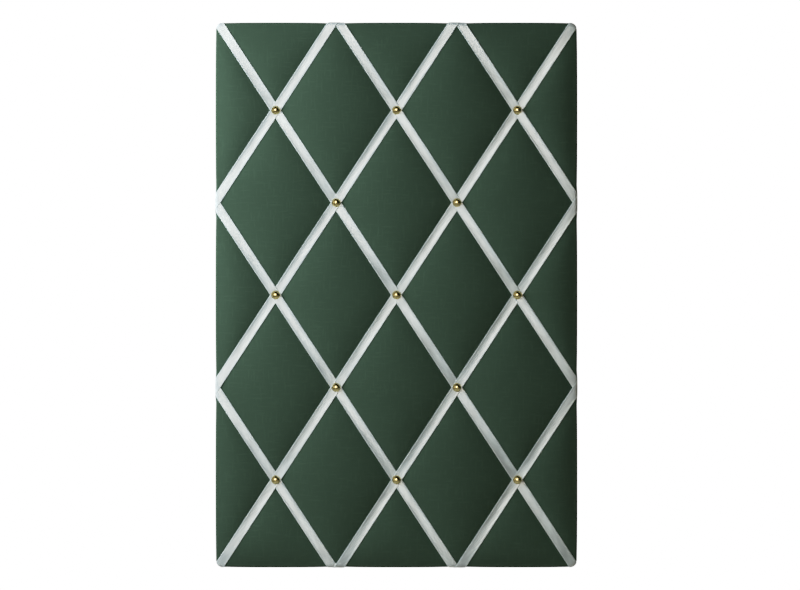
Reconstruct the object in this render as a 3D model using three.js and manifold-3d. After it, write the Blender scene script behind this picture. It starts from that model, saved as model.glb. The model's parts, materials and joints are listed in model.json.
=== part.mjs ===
// French memo board: a padded board in fabric, crossed by ribbons that dome-headed nails hold down.
// Millimetres. +X is right, +Z is up, the front faces -Y, and the felt on the back lies in Y = 0.

import * as THREE from 'three';
import { mergeVertices } from 'three/addons/utils/BufferGeometryUtils.js';
import Module from 'manifold-3d';

const wasm = await Module();
wasm.setup();

// Board
const boardWidth = 400;
const boardHeight = 603;
const edgeRadius = 8; // round of the padded front edge, and of the corners seen from the front
const coreThickness = 9;
const gap = 0.3; // clearance between pieces that touch

// Padding and fabric
const waddingCrown = 8.5; // wadding over the core at the middle of a diamond
const fabricThickness = 0.8;
const hemUnderCover = 5; // fabric hem that the felt hides
const channelDepth = 4; // from the crown of a diamond down to a ribbon
const pillowReach = 20; // how soon a diamond rises beside a ribbon
const nailDip = 3; // how much deeper a nail pulls its crossing
const nailDipReach = 54;
const pillowKnots = [0.3, 0.7]; // shares of a diamond's width where its slope changes

// Ribbons
const halfDiamonds = 3; // half diamonds from the middle of the board to each edge
const ribbonWidth = 10;
const ribbonThickness = 0.5;
const overrunX = 1; // how far past the side edges the outer ribbons cross
const overrunZ = 5.7; // how far past the top and bottom edges they cross
const tailRamp = 4; // length over which a ribbon's tail changes level on the back
const tailLanding = 7; // length of the tail that lies flat on the core
const risingOnTop = [[-2, 2], [-1, 1], [-1, -1], [1, -1], [-2, -2], [0, -2], [2, -2]];

// Dome-headed nails
const nailHeadDiameter = 10;
const nailHeadHeight = 3.6;
const shankWidth = 1.8;
const shankPointLength = 3;
const coreBehindPoint = 2; // core that is left behind a nail's point

// Staples
const stapleWidth = 7;
const stapleWireWidth = 1.2;
const stapleWireThickness = 0.4;
const stapleInCore = 4;

// Felt on the back
const feltThickness = 1;
const wallPadHalfWidth = 80; // middle of the felt that lies on the wall
const wallPadTop = 70;
const wallPadBottom = -130;

// Ring hangers
const hangerInset = 70; // from a side edge of the board in to the middle of its ring
const hangerDrop = 100; // from the top edge of the board down to the ring's axis
const strapWidth = 10;
const strapThickness = 0.9;
const strapLength = 15; // from the ring's axis to the strap's end
const strapCornerRadius = 3;
const strapCurlEnd = 200; // degrees
const wireDiameter = 2.4;
const ringInnerWidth = 18;
const ringSideLength = 4; // from the ring's axis to the start of its round bow
const ringCornerRadius = 3;
const ringSplit = 0.5; // open joint in the middle of the ring's bar
const screwDrop = 9.5; // from the ring's axis down to the screw
const screwDiameter = 3;
const screwInCore = 5;
const screwPointLength = 2.5;
const screwHeadDiameter = 6.4;
const screwHeadHeight = 1.8;
const screwHeadRim = 0.6;
const screwHeadCrown = 3.6; // width of the flat on top of the head
const screwSlotWidth = 0.9;
const screwSlotLength = 3.2;
const screwSlotDepth = 1;

// Facets
const roundSteps = 4;
const cornerSteps = 3;
const nailSides = 14;
const nailRings = 4;
const screwSides = 12;
const wireSides = 8;
const wireSteps = 26;
const curlSegments = 6;
const cutMargin = 5; // how far a cutting shape reaches past what it cuts
const holeMargin = 1; // the same for the strap's hole, which has to stop short of the curl
const weld = 0.001; // points of the unrolled skin closer than this are one point
const merge = 0.0001; // points of a solid closer than this are one point

// Levels, from the felt forward
const feltInner = -feltThickness;
const hemOuter = feltInner - gap - ribbonThickness - gap;
const coreBack = hemOuter - fabricThickness - gap;
const coreFront = coreBack - coreThickness;
const waddingBack = coreFront - gap;
const frontLevel = waddingBack - waddingCrown - gap - fabricThickness + channelDepth;
const equator = frontLevel + edgeRadius; // where the round front edge turns into the straight side
const ribbonStep = ribbonThickness + gap; // one ribbon lying on another
const nailSeat = frontLevel + nailDip - 2 * ribbonStep - gap;
const nailPoint = coreBack - coreBehindPoint;
const underFabric = -(fabricThickness + gap); // offset of the padding below the fabric's face

// Flat middle of the front, inside the round edge
const innerX = boardWidth / 2 - edgeRadius;
const innerZ = boardHeight / 2 - edgeRadius;

// Ribbon lattice: crossings lie at (column * pitchX, row * pitchZ) where column + row is even
const pitchX = (boardWidth / 2 + overrunX) / halfDiamonds;
const pitchZ = (boardHeight / 2 + overrunZ) / halfDiamonds;
const outerRibbon = halfDiamonds - 1;
const diagonal = new THREE.Vector2(pitchX, pitchZ).normalize();
const ribbonSpacing = (2 * pitchX * pitchZ) / Math.hypot(pitchX, pitchZ);
const halfRibbon = ribbonWidth / 2 / ribbonSpacing; // in lattice steps

// Distances from the edge of the flat front, measured round the edge to the back
const arcReach = (edgeRadius * Math.PI) / 2;
const sideReach = arcReach + hemOuter - equator;
const crossingReach = Math.max(
  halfDiamonds * pitchX - innerX + ribbonWidth / 2 / diagonal.y,
  halfDiamonds * pitchZ - innerZ + ribbonWidth / 2 / diagonal.x,
);
const crossingEnd = Math.max(crossingReach - sideReach, 0) + gap;
const feltInset = crossingEnd + tailRamp;
const hemWidth = feltInset + hemUnderCover;

// Hanger
const curlInner = wireDiameter / 2 + gap;
const curlOuter = curlInner + strapThickness;
const ringAxisY = gap + curlOuter;
const ringAxisZ = boardHeight / 2 - hangerDrop;
const hangerSpacing = boardWidth - 2 * hangerInset;
const ringHalfWidth = (ringInnerWidth + wireDiameter) / 2;
const ringReach = ringSideLength + ringHalfWidth;
const ringLean = Math.asin((ringAxisY - wireDiameter / 2 - gap) / ringReach);
const screwZ = ringAxisZ - screwDrop;
const screwHoleRadius = screwDiameter / 2 + gap;

// Solids
function solidOf(geometry) {
  geometry.deleteAttribute('normal');
  geometry.deleteAttribute('uv');
  const welded = mergeVertices(geometry, merge);
  const vertProperties = new Float32Array(welded.attributes.position.array);
  const triVerts = new Uint32Array(welded.index.array);
  return new wasm.Manifold(new wasm.Mesh({ numProp: 3, vertProperties, triVerts }));
}

function geometryOf(solid) {
  const mesh = solid.getMesh();
  const geometry = new THREE.BufferGeometry();
  geometry.setAttribute('position', new THREE.BufferAttribute(mesh.vertProperties, 3));
  geometry.setIndex(new THREE.BufferAttribute(mesh.triVerts, 1));
  const faceted = geometry.toNonIndexed();
  faceted.computeVertexNormals();
  return faceted;
}

function box(lowX, highX, lowY, highY, lowZ, highZ) {
  const geometry = new THREE.BoxGeometry(highX - lowX, highY - lowY, highZ - lowZ);
  geometry.translate((lowX + highX) / 2, (lowY + highY) / 2, (lowZ + highZ) / 2);
  return solidOf(geometry);
}

function joined(solids) {
  return solids.reduce((whole, solid) => whole.add(solid));
}

// How far the front stands above the ribbons' level at a point of the flat middle
function latticeOf(x, z) {
  return { s: (x / pitchX + z / pitchZ) / 2, t: (x / pitchX - z / pitchZ) / 2 };
}

function nearestRibbon(place) {
  return THREE.MathUtils.clamp(Math.round(place), -outerRibbon, outerRibbon);
}

function hasNail(column, row) {
  return Math.abs(column) < halfDiamonds && Math.abs(row) < halfDiamonds;
}

function rise(x, z) {
  const { s, t } = latticeOf(x, z);
  const nearS = nearestRibbon(s);
  const nearT = nearestRibbon(t);
  const fromFalling = Math.max(Math.abs(s - nearS) - halfRibbon, 0) * ribbonSpacing;
  const fromRising = Math.max(Math.abs(t - nearT) - halfRibbon, 0) * ribbonSpacing;
  const fromEdge = Math.max(Math.min(innerX - Math.abs(x), innerZ - Math.abs(z)), 0);
  const swell = [fromFalling, fromRising, fromEdge].map((far) => 1 - Math.exp(-far / pillowReach));
  const pillow = channelDepth * swell[0] * swell[1] * swell[2];
  const nailed = hasNail(nearS + nearT, nearS - nearT);
  const pull = nailed ? Math.max(1 - (fromFalling + fromRising) / nailDipReach, 0) ** 2 : 0;
  return pillow - nailDip * pull;
}

// The board's skin is drawn unrolled: a point past the flat front lies on the round edge, the side or the
// back. Round the corners a point's reach is measured across straight facets.
function reachOf(beyondX, beyondZ) {
  const step = Math.PI / 2 / cornerSteps;
  const sector = Math.min(Math.floor(Math.atan2(beyondZ, beyondX) / step), cornerSteps - 1);
  const start = sector * step;
  const end = start + step;
  const alongStart = beyondX * Math.sin(end) - beyondZ * Math.cos(end);
  const alongEnd = beyondZ * Math.cos(start) - beyondX * Math.sin(start);
  return (alongStart + alongEnd) / Math.sin(step);
}

function edgeSection(reach, offset) {
  const radius = edgeRadius + offset;
  if (reach > sideReach + weld) {
    return { out: edgeRadius, y: hemOuter + offset, inset: reach - sideReach };
  }
  if (reach > arcReach) {
    const share = (reach - arcReach) / (sideReach - arcReach);
    return { out: radius, y: THREE.MathUtils.lerp(equator, hemOuter + offset, share), inset: 0 };
  }
  const step = arcReach / roundSteps;
  const facet = Math.min(Math.floor(reach / step), roundSteps - 1);
  const share = reach / step - facet;
  const from = (facet * step) / edgeRadius;
  const to = from + step / edgeRadius;
  const out = radius * THREE.MathUtils.lerp(Math.sin(from), Math.sin(to), share);
  const y = equator - radius * THREE.MathUtils.lerp(Math.cos(from), Math.cos(to), share);
  return { out, y, inset: 0 };
}

function place(x, z, offset) {
  const beyondX = Math.max(Math.abs(x) - innerX, 0);
  const beyondZ = Math.max(Math.abs(z) - innerZ, 0);
  if (beyondX + beyondZ === 0) {
    return new THREE.Vector3(x, frontLevel - rise(x, z) - offset, z);
  }
  const reach = reachOf(beyondX, beyondZ);
  const { out, y, inset } = edgeSection(reach, offset);
  const onCorner = beyondX > 0 && beyondZ > 0;
  const inwardX = onCorner ? diagonal.x : Math.sign(beyondX);
  const inwardZ = onCorner ? diagonal.y : Math.sign(beyondZ);
  const placedX = Math.min(Math.abs(x), innerX) + (beyondX / reach) * out - inwardX * inset;
  const placedZ = Math.min(Math.abs(z), innerZ) + (beyondZ / reach) * out - inwardZ * inset;
  return new THREE.Vector3(Math.sign(x) * placedX, y, Math.sign(z) * placedZ);
}

// Polygons on the unrolled skin, anticlockwise as seen from the front
function clip(polygon, normalX, normalZ, limit) {
  const depths = polygon.map((point) => limit - normalX * point.x - normalZ * point.z);
  const kept = [];
  polygon.forEach((from, index) => {
    const next = (index + 1) % polygon.length;
    const to = polygon[next];
    if (depths[index] > -weld) {
      kept.push(from);
    }
    const sides = [depths[index], depths[next]];
    if (Math.max(...sides) > weld && Math.min(...sides) < -weld) {
      const share = depths[index] / (depths[index] - depths[next]);
      const x = THREE.MathUtils.lerp(from.x, to.x, share);
      const z = THREE.MathUtils.lerp(from.z, to.z, share);
      kept.push({ x, z });
    }
  });
  return kept;
}

function areaOf(polygon) {
  return Math.abs(THREE.ShapeUtils.area(polygon.map((point) => new THREE.Vector2(point.x, point.z))));
}

function whole(polygons) {
  return polygons.filter((polygon) => polygon.length > 2 && areaOf(polygon) > weld);
}

function mirrored(polygon, signX, signZ) {
  const turned = polygon.map((point) => ({ ...point, x: signX * point.x, z: signZ * point.z }));
  return signX * signZ < 0 ? turned.reverse() : turned;
}

function pairs(list) {
  return list.slice(1).map((high, index) => [list[index], high]);
}

function ribbonKnots() {
  const knots = [];
  for (let ribbon = -halfDiamonds; ribbon <= halfDiamonds; ribbon += 1) {
    const low = ribbon + halfRibbon;
    const width = 1 - 2 * halfRibbon;
    knots.push(ribbon - halfRibbon, low, ...pillowKnots.map((share) => low + share * width));
  }
  return knots;
}

function frontCells(knotsS, knotsT) {
  const cells = [];
  for (const [lowS, highS] of pairs(knotsS)) {
    for (const [lowT, highT] of pairs(knotsT)) {
      const corners = [[lowS, lowT], [lowS, highT], [highS, highT], [highS, lowT]];
      let cell = corners.map(([s, t]) => ({ x: pitchX * (s + t), z: pitchZ * (s - t) }));
      cell = clip(cell, 1, 0, innerX);
      cell = clip(cell, -1, 0, innerX);
      cell = clip(cell, 0, 1, innerZ);
      cell = clip(cell, 0, -1, innerZ);
      cells.push(cell);
    }
  }
  return whole(cells);
}

function sideCells(stops) {
  const cells = [];
  for (const [near, far] of pairs(stops)) {
    const right = [[near, -1], [far, -1], [far, 1], [near, 1]];
    const rightCell = right.map(([reach, end]) => ({ x: innerX + reach, z: end * innerZ }));
    const top = [[-1, near], [1, near], [1, far], [-1, far]];
    const topCell = top.map(([end, reach]) => ({ x: end * innerX, z: innerZ + reach }));
    cells.push(rightCell, mirrored(rightCell, -1, 1), topCell, mirrored(topCell, 1, -1));
  }
  return cells;
}

function cornerPoint(reach, sector) {
  const angle = (sector * Math.PI) / 2 / cornerSteps;
  return { x: innerX + reach * Math.cos(angle), z: innerZ + reach * Math.sin(angle) };
}

function cornerCells(stops, signX, signZ) {
  const cells = [];
  for (const [near, far] of pairs(stops)) {
    for (let sector = 0; sector < cornerSteps; sector += 1) {
      const outer = [cornerPoint(far, sector), cornerPoint(far, sector + 1)];
      const inner = [cornerPoint(near, sector + 1), cornerPoint(near, sector)];
      const cell = [...outer, ...(near > 0 ? inner : inner.slice(0, 1))];
      cells.push(mirrored(cell, signX, signZ));
    }
  }
  return cells;
}

const quadrants = [[1, 1], [1, -1], [-1, 1], [-1, -1]];
const roundStops = Array.from({ length: roundSteps + 1 }, (_, index) => (arcReach * index) / roundSteps);

function boardSkin() {
  const stops = [...roundStops, sideReach];
  const corners = quadrants.flatMap(([signX, signZ]) => cornerCells(stops, signX, signZ));
  return [...frontCells(ribbonKnots(), ribbonKnots()), ...sideCells(stops), ...corners];
}

// Meshes from polygons: shared points are found by their key, and a point that lies on a neighbour's side
// is put into that side
function keyOf(point) {
  return point.key ?? `${Math.round(point.x / weld)} ${Math.round(point.z / weld)}`;
}

function stitched(polygons) {
  const points = new Map(polygons.flat().map((point) => [keyOf(point), point]));
  return polygons.map((polygon) => polygon.flatMap((from, index) => {
    const to = polygon[(index + 1) % polygon.length];
    const length = Math.hypot(to.x - from.x, to.z - from.z);
    const between = [];
    for (const point of points.values()) {
      const along = ((point.x - from.x) * (to.x - from.x) + (point.z - from.z) * (to.z - from.z)) / length;
      const aside = ((point.x - from.x) * (to.z - from.z) - (point.z - from.z) * (to.x - from.x)) / length;
      if (Math.abs(aside) < 2 * weld && along > 2 * weld && along < length - 2 * weld) {
        between.push({ point, along });
      }
    }
    between.sort((first, second) => first.along - second.along);
    return [from, ...between.map((entry) => entry.point)];
  }));
}

function fanFrom(polygon, start) {
  const turned = [...polygon.slice(start), ...polygon.slice(0, start)];
  return pairs(turned.slice(1)).map(([second, third]) => [turned[0], second, third]);
}

function trianglesOf(polygon) {
  const fans = polygon.map((_, start) => fanFrom(polygon, start));
  const thinnest = (fan) => Math.min(...fan.map(areaOf));
  return fans.reduce((best, fan) => (thinnest(fan) > thinnest(best) ? fan : best));
}

class Surface {
  constructor() {
    this.positions = [];
    this.indices = [];
    this.known = new Map();
  }

  point(key, position) {
    if (!this.known.has(key)) {
      this.known.set(key, this.known.size);
      this.positions.push(position.x, position.y, position.z);
    }
    return this.known.get(key);
  }

  face(...corners) {
    this.indices.push(...corners);
  }

  solid() {
    const geometry = new THREE.BufferGeometry();
    geometry.setAttribute('position', new THREE.Float32BufferAttribute(this.positions, 3));
    geometry.setIndex(this.indices);
    return solidOf(geometry);
  }
}

function positionOf(point, offset) {
  return point.at ? point.at(offset) : place(point.x, point.z, offset);
}

function rimOf(triangles) {
  const sides = new Map();
  for (const triangle of triangles) {
    triangle.forEach((from, index) => {
      const to = triangle[(index + 1) % 3];
      sides.set(`${keyOf(from)} ${keyOf(to)}`, [from, to]);
    });
  }
  return [...sides.values()].filter(([from, to]) => !sides.has(`${keyOf(to)} ${keyOf(from)}`));
}

// A skin of the given thickness over the polygons, whose under face may change level from point to point
function skin(polygons, thickness, offsetOf) {
  const triangles = stitched(polygons).flatMap(trianglesOf);
  const surface = new Surface();
  const under = (point) => surface.point(`under ${keyOf(point)}`, positionOf(point, offsetOf(point)));
  const over = (point) => {
    const offset = offsetOf(point) + thickness;
    return surface.point(`over ${keyOf(point)}`, positionOf(point, offset));
  };
  for (const [first, second, third] of triangles) {
    surface.face(over(first), over(second), over(third));
    surface.face(under(third), under(second), under(first));
  }
  for (const [from, to] of rimOf(triangles)) {
    surface.face(over(to), over(from), under(from));
    surface.face(over(to), under(from), under(to));
  }
  return surface.solid();
}

// The full body under the board's skin at an offset, closed flat at the back
function body(offset) {
  const triangles = stitched(boardSkin()).flatMap(trianglesOf);
  const surface = new Surface();
  const at = (point) => surface.point(keyOf(point), positionOf(point, offset));
  for (const triangle of triangles) {
    surface.face(...triangle.map(at));
  }
  const middle = surface.point('back middle', new THREE.Vector3(0, hemOuter + offset, 0));
  for (const [from, to] of rimOf(triangles)) {
    surface.face(at(to), at(from), middle);
  }
  return surface.solid();
}

// Fabric hem on the back, mitred to the corners of its opening
function hemCells() {
  const openX = boardWidth / 2 - hemWidth;
  const openZ = boardHeight / 2 - hemWidth;
  const hemCorner = (signX, signZ) => ({
    key: `hem corner ${signX} ${signZ}`,
    x: signX * (innerX + sideReach + hemWidth),
    z: signZ * (innerZ + sideReach + hemWidth),
    at: (offset) => new THREE.Vector3(signX * openX, hemOuter + offset, signZ * openZ),
  });
  const cells = [];
  for (const sign of [1, -1]) {
    const right = [-1, 1].map((end) => ({ x: innerX + sideReach, z: end * innerZ }));
    const top = [-1, 1].map((end) => ({ x: end * innerX, z: innerZ + sideReach }));
    const sideEnds = mirrored(right, sign, 1);
    const topEnds = mirrored(top, 1, sign);
    const [low, high] = sign > 0 ? sideEnds : [...sideEnds].reverse();
    const [left, far] = sign > 0 ? topEnds : [...topEnds].reverse();
    const sideCell = [low, hemCorner(sign, -1), hemCorner(sign, 1), high];
    const topCell = [left, far, hemCorner(1, sign), hemCorner(-1, sign)];
    cells.push(sign > 0 ? sideCell : sideCell.reverse(), sign > 0 ? topCell : topCell.reverse());
  }
  for (const [signX, signZ] of quadrants) {
    for (let sector = 0; sector < cornerSteps; sector += 1) {
      const ends = [cornerPoint(sideReach, sector + 1), cornerPoint(sideReach, sector)];
      const [first, second] = mirrored(ends, signX, signZ);
      cells.push([first, second, hemCorner(signX, signZ)]);
    }
  }
  return cells;
}

// Ribbons: a rising one keeps t at its number, a falling one keeps s
function crossingOf(rising, number, along) {
  const s = rising ? along : number;
  const t = rising ? number : along;
  return { column: s + t, row: s - t };
}

function liesOnTop(rising, number, along) {
  const { column, row } = crossingOf(rising, number, along);
  if (!hasNail(column, row)) {
    return rising;
  }
  const risingWins = risingOnTop.some((crossing) => crossing[0] === column && crossing[1] === row);
  return risingWins === rising;
}

function stripped(polygon, rising, number) {
  const towardsX = 1 / (2 * pitchX);
  const towardsZ = (rising ? -1 : 1) / (2 * pitchZ);
  const length = Math.hypot(towardsX, towardsZ);
  const normalX = towardsX / length;
  const normalZ = towardsZ / length;
  const cut = clip(polygon, normalX, normalZ, (number + halfRibbon) / length);
  return clip(cut, -normalX, -normalZ, (halfRibbon - number) / length);
}

function beyond(point) {
  return { x: Math.max(Math.abs(point.x) - innerX, 0), z: Math.max(Math.abs(point.z) - innerZ, 0) };
}

function pointReach(point) {
  const { x, z } = beyond(point);
  return x + z > 0 ? reachOf(x, z) : 0;
}

// How far the tail of a corner ribbon runs before it has left the fabric hem
function cornerHemExit(points) {
  return Math.max(...points.map((point) => {
    const { x, z } = beyond(point);
    const exitX = ((x / arcReach) * edgeRadius + hemWidth - edgeRadius) / diagonal.x;
    const exitZ = ((z / arcReach) * edgeRadius + hemWidth - edgeRadius) / diagonal.y;
    return Math.max(exitX, exitZ);
  }));
}

function tailStops(hemExit) {
  const landed = hemExit + gap + tailRamp;
  return [hemExit + gap, landed, landed + tailLanding].map((inset) => sideReach + inset);
}

function cornerEnd(number, rising, signX, signZ) {
  const round = whole(cornerCells(roundStops, signX, signZ).map((cell) => stripped(cell, rising, number)));
  const onEquator = (point) => Math.abs(pointReach(point) - arcReach) < 2 * weld;
  const equatorPoints = new Map(round.flat().filter(onEquator).map((point) => [keyOf(point), point]));
  const angle = (point) => Math.atan2(beyond(point).z, beyond(point).x);
  const points = [...equatorPoints.values()].sort((first, second) => angle(first) - angle(second));
  const tail = tailStops(cornerHemExit(points));
  const outward = (point, reach) => ({
    x: signX * (innerX + (beyond(point).x * reach) / arcReach),
    z: signZ * (innerZ + (beyond(point).z * reach) / arcReach),
  });
  const cells = [];
  for (const [near, far] of pairs([arcReach, sideReach, ...tail])) {
    for (const [low, high] of pairs(points)) {
      const cell = [outward(low, near), outward(low, far), outward(high, far), outward(high, near)];
      cells.push(signX * signZ < 0 ? cell.reverse() : cell);
    }
  }
  return { cells: [...round, ...cells], tail };
}

function ribbonLift(point, rising, number, tail) {
  const reach = pointReach(point);
  const onEdge = reach > 0 || Math.abs(point.x) > innerX - weld || Math.abs(point.z) > innerZ - weld;
  if (!onEdge) {
    const { s, t } = latticeOf(point.x, point.z);
    const along = rising ? s : t;
    const atCrossing = Math.abs(along - Math.round(along)) < halfRibbon + weld;
    return atCrossing && liesOnTop(rising, number, Math.round(along)) ? ribbonStep : 0;
  }
  if (reach > tail[0] + weld) {
    return underFabric;
  }
  const lifted = rising && number !== 0 && reach < sideReach + crossingEnd + weld;
  return lifted ? ribbonStep : 0;
}

function ribbonPlan(rising, number) {
  const knots = ribbonKnots();
  const across = [number - halfRibbon, number + halfRibbon];
  const front = rising ? frontCells(knots, across) : frontCells(across, knots);
  if (number === 0) {
    const signs = rising ? [[1, 1], [-1, -1]] : [[1, -1], [-1, 1]];
    const ends = signs.map(([signX, signZ]) => cornerEnd(number, rising, signX, signZ));
    const sides = whole(sideCells(roundStops).map((cell) => stripped(cell, rising, number)));
    return { cells: [...front, ...sides, ...ends.flatMap((end) => end.cells)], tail: ends[0].tail };
  }
  const tail = tailStops(hemWidth);
  const crossed = rising ? [sideReach + crossingEnd, sideReach + feltInset] : [];
  const stops = [...roundStops, sideReach, ...crossed, ...tail];
  const sides = whole(sideCells(stops).map((cell) => stripped(cell, rising, number)));
  return { cells: [...front, ...sides], tail };
}

// The two ends of a ribbon: where its staple sits on the back and which way the staple's crown lies
function ribbonEnds(rising, number, tail) {
  const reach = tail[2] - tailLanding / 2;
  const slope = (rising ? 1 : -1) * (pitchZ / pitchX);
  return [1, -1].map((sign) => {
    if (number === 0) {
      const stretch = reach / reachOf(diagonal.x, diagonal.y);
      const x = sign * (innerX + diagonal.x * stretch);
      const z = sign * Math.sign(slope) * (innerZ + diagonal.y * stretch);
      const crown = new THREE.Vector3(-Math.sign(slope) * diagonal.y, 0, diagonal.x);
      return { centre: place(x, z, 0), crown };
    }
    const onSide = sign * number > 0;
    const lineOffset = rising ? -2 * number * pitchZ : 2 * number * pitchZ;
    if (onSide) {
      const x = sign * (innerX + reach);
      return { centre: place(x, slope * x + lineOffset, 0), crown: new THREE.Vector3(0, 0, 1) };
    }
    const z = sign * Math.sign(slope) * (innerZ + reach);
    return { centre: place((z - lineOffset) / slope, z, 0), crown: new THREE.Vector3(1, 0, 0) };
  });
}

// Staples
const stapleCrownInner = coreBack + gap + ribbonThickness + gap;
const stapleCrownOuter = stapleCrownInner + stapleWireThickness;

function stapleSolid(end, clearance) {
  const half = stapleWidth / 2 + clearance;
  const innerHalf = stapleWidth / 2 - stapleWireThickness - clearance;
  const tip = coreBack - stapleInCore - clearance;
  const outline = new THREE.Shape();
  outline.moveTo(-half, tip);
  outline.lineTo(-innerHalf, tip);
  outline.lineTo(-innerHalf, stapleCrownInner);
  outline.lineTo(innerHalf, stapleCrownInner);
  outline.lineTo(innerHalf, tip);
  outline.lineTo(half, tip);
  outline.lineTo(half, stapleCrownOuter);
  outline.lineTo(-half, stapleCrownOuter);
  const depth = stapleWireWidth + 2 * clearance;
  const geometry = new THREE.ExtrudeGeometry(outline, { depth, bevelEnabled: false });
  geometry.translate(0, 0, -depth / 2);
  const up = new THREE.Vector3(0, 1, 0);
  const across = new THREE.Vector3().crossVectors(end.crown, up);
  const turn = new THREE.Matrix4().makeBasis(end.crown, up, across);
  turn.setPosition(end.centre.x, 0, end.centre.z);
  geometry.applyMatrix4(turn);
  return solidOf(geometry);
}

// Nails
function nailPlaces() {
  const places = [];
  for (let row = outerRibbon; row >= -outerRibbon; row -= 1) {
    for (let column = -outerRibbon; column <= outerRibbon; column += 1) {
      if ((column + row) % 2 === 0) {
        places.push({ x: column * pitchX, z: row * pitchZ });
      }
    }
  }
  return places;
}

function shankCut(spot) {
  const half = shankWidth / 2 + gap;
  const front = nailSeat - cutMargin;
  return box(spot.x - half, spot.x + half, front, nailPoint + gap, spot.z - half, spot.z + half);
}

function nailGeometry() {
  const headRadius = nailHeadDiameter / 2;
  const sphereRadius = (headRadius ** 2 + nailHeadHeight ** 2) / (2 * nailHeadHeight);
  const opening = Math.asin(headRadius / sphereRadius);
  const profile = [];
  for (let ring = 0; ring <= nailRings; ring += 1) {
    const angle = (opening * ring) / nailRings;
    const y = nailSeat - nailHeadHeight + sphereRadius * (1 - Math.cos(angle));
    profile.push(new THREE.Vector2(sphereRadius * Math.sin(angle), y));
  }
  profile.push(new THREE.Vector2(0, nailSeat));
  const head = solidOf(new THREE.LatheGeometry(profile, nailSides));
  const corner = shankWidth / Math.SQRT2;
  const shankProfile = [
    new THREE.Vector2(0, nailSeat - nailHeadHeight / 2),
    new THREE.Vector2(corner, nailSeat - nailHeadHeight / 2),
    new THREE.Vector2(corner, nailPoint - shankPointLength),
    new THREE.Vector2(0, nailPoint),
  ];
  const shank = solidOf(new THREE.LatheGeometry(shankProfile, 4, Math.PI / 4));
  return geometryOf(head.add(shank));
}

// Felt on the back: a middle panel for the wall, and panels round it of which two have a screw hole
function feltSolid() {
  const halfWidth = boardWidth / 2 - feltInset;
  const halfHeight = boardHeight / 2 - feltInset;
  const columns = [-halfWidth, -wallPadHalfWidth, wallPadHalfWidth, halfWidth];
  const rows = [-halfHeight, wallPadBottom, wallPadTop, halfHeight];
  const flat = (x, z) => ({ x, z, at: (offset) => new THREE.Vector3(x, -offset, z) });
  const polygons = [];
  for (const [left, right] of pairs(columns)) {
    for (const [low, high] of pairs(rows)) {
      const corners = [flat(left, low), flat(right, low), flat(right, high), flat(left, high)];
      const hangerX = (Math.sign(left + right) * hangerSpacing) / 2;
      const holed = hangerX > left && hangerX < right && screwZ > low && screwZ < high && left + right !== 0;
      polygons.push(...(holed ? holedPanel(corners, hangerX, flat) : [corners]));
    }
  }
  return skin(polygons, feltThickness, () => 0);
}

function holedPanel(corners, hangerX, flat) {
  const hole = Array.from({ length: screwSides }, (_, side) => {
    const angle = (-2 * Math.PI * side) / screwSides;
    return flat(hangerX + screwHoleRadius * Math.cos(angle), screwZ + screwHoleRadius * Math.sin(angle));
  });
  const flatPoints = (points) => points.map((point) => new THREE.Vector2(point.x, point.z));
  const points = [...corners, ...hole];
  const faces = THREE.ShapeUtils.triangulateShape(flatPoints(corners), [flatPoints(hole)]);
  return faces.map((face) => face.map((corner) => points[corner]));
}

// Ring hangers, drawn round the ring's axis
function cylinderAlongY(radius, lowY, highY, z) {
  const geometry = new THREE.CylinderGeometry(radius, radius, highY - lowY, screwSides);
  geometry.translate(0, (lowY + highY) / 2, z);
  return solidOf(geometry);
}

function strapGeometry() {
  const curlEnd = THREE.MathUtils.degToRad(strapCurlEnd);
  const base = gap - ringAxisY;
  const profile = new THREE.Shape();
  profile.moveTo(-strapLength, base);
  profile.lineTo(0, base);
  profile.absarc(0, 0, curlOuter, -Math.PI / 2, curlEnd, false);
  profile.absarc(0, 0, curlInner, curlEnd, -Math.PI / 2, true);
  profile.lineTo(-strapLength, base + strapThickness);
  const settings = { depth: strapWidth, bevelEnabled: false, curveSegments: curlSegments };
  const bent = new THREE.ExtrudeGeometry(profile, settings);
  bent.translate(0, 0, -strapWidth / 2);
  const up = new THREE.Vector3(0, 0, 1);
  const back = new THREE.Vector3(0, 1, 0);
  bent.applyMatrix4(new THREE.Matrix4().makeBasis(up, back, new THREE.Vector3().crossVectors(up, back)));
  const half = strapWidth / 2;
  const outline = new THREE.Shape();
  outline.moveTo(half + gap, curlOuter + cutMargin);
  outline.lineTo(-half - gap, curlOuter + cutMargin);
  outline.lineTo(-half - gap, -strapLength + strapCornerRadius);
  outline.lineTo(-half, -strapLength + strapCornerRadius);
  outline.absarc(strapCornerRadius - half, strapCornerRadius - strapLength, strapCornerRadius,
    Math.PI, 1.5 * Math.PI, false);
  outline.absarc(half - strapCornerRadius, strapCornerRadius - strapLength, strapCornerRadius,
    1.5 * Math.PI, 2 * Math.PI, false);
  outline.lineTo(half + gap, -strapLength + strapCornerRadius);
  const reach = ringAxisY + curlOuter + cutMargin;
  const blankSettings = { depth: 2 * reach, bevelEnabled: false, curveSegments: cornerSteps };
  const blank = new THREE.ExtrudeGeometry(outline, blankSettings);
  blank.rotateX(Math.PI / 2);
  blank.translate(0, reach, 0);
  const holeTop = base + strapThickness + holeMargin;
  const hole = cylinderAlongY(screwHoleRadius, base - cutMargin, holeTop, -screwDrop);
  return geometryOf(solidOf(bent).intersect(solidOf(blank)).subtract(hole));
}

class WirePath extends THREE.Curve {
  constructor(outline) {
    super();
    this.outline = outline;
  }

  getPoint(share) {
    const point = this.outline.getPoint(share);
    return new THREE.Vector3(point.x, 0, point.y);
  }
}

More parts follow.
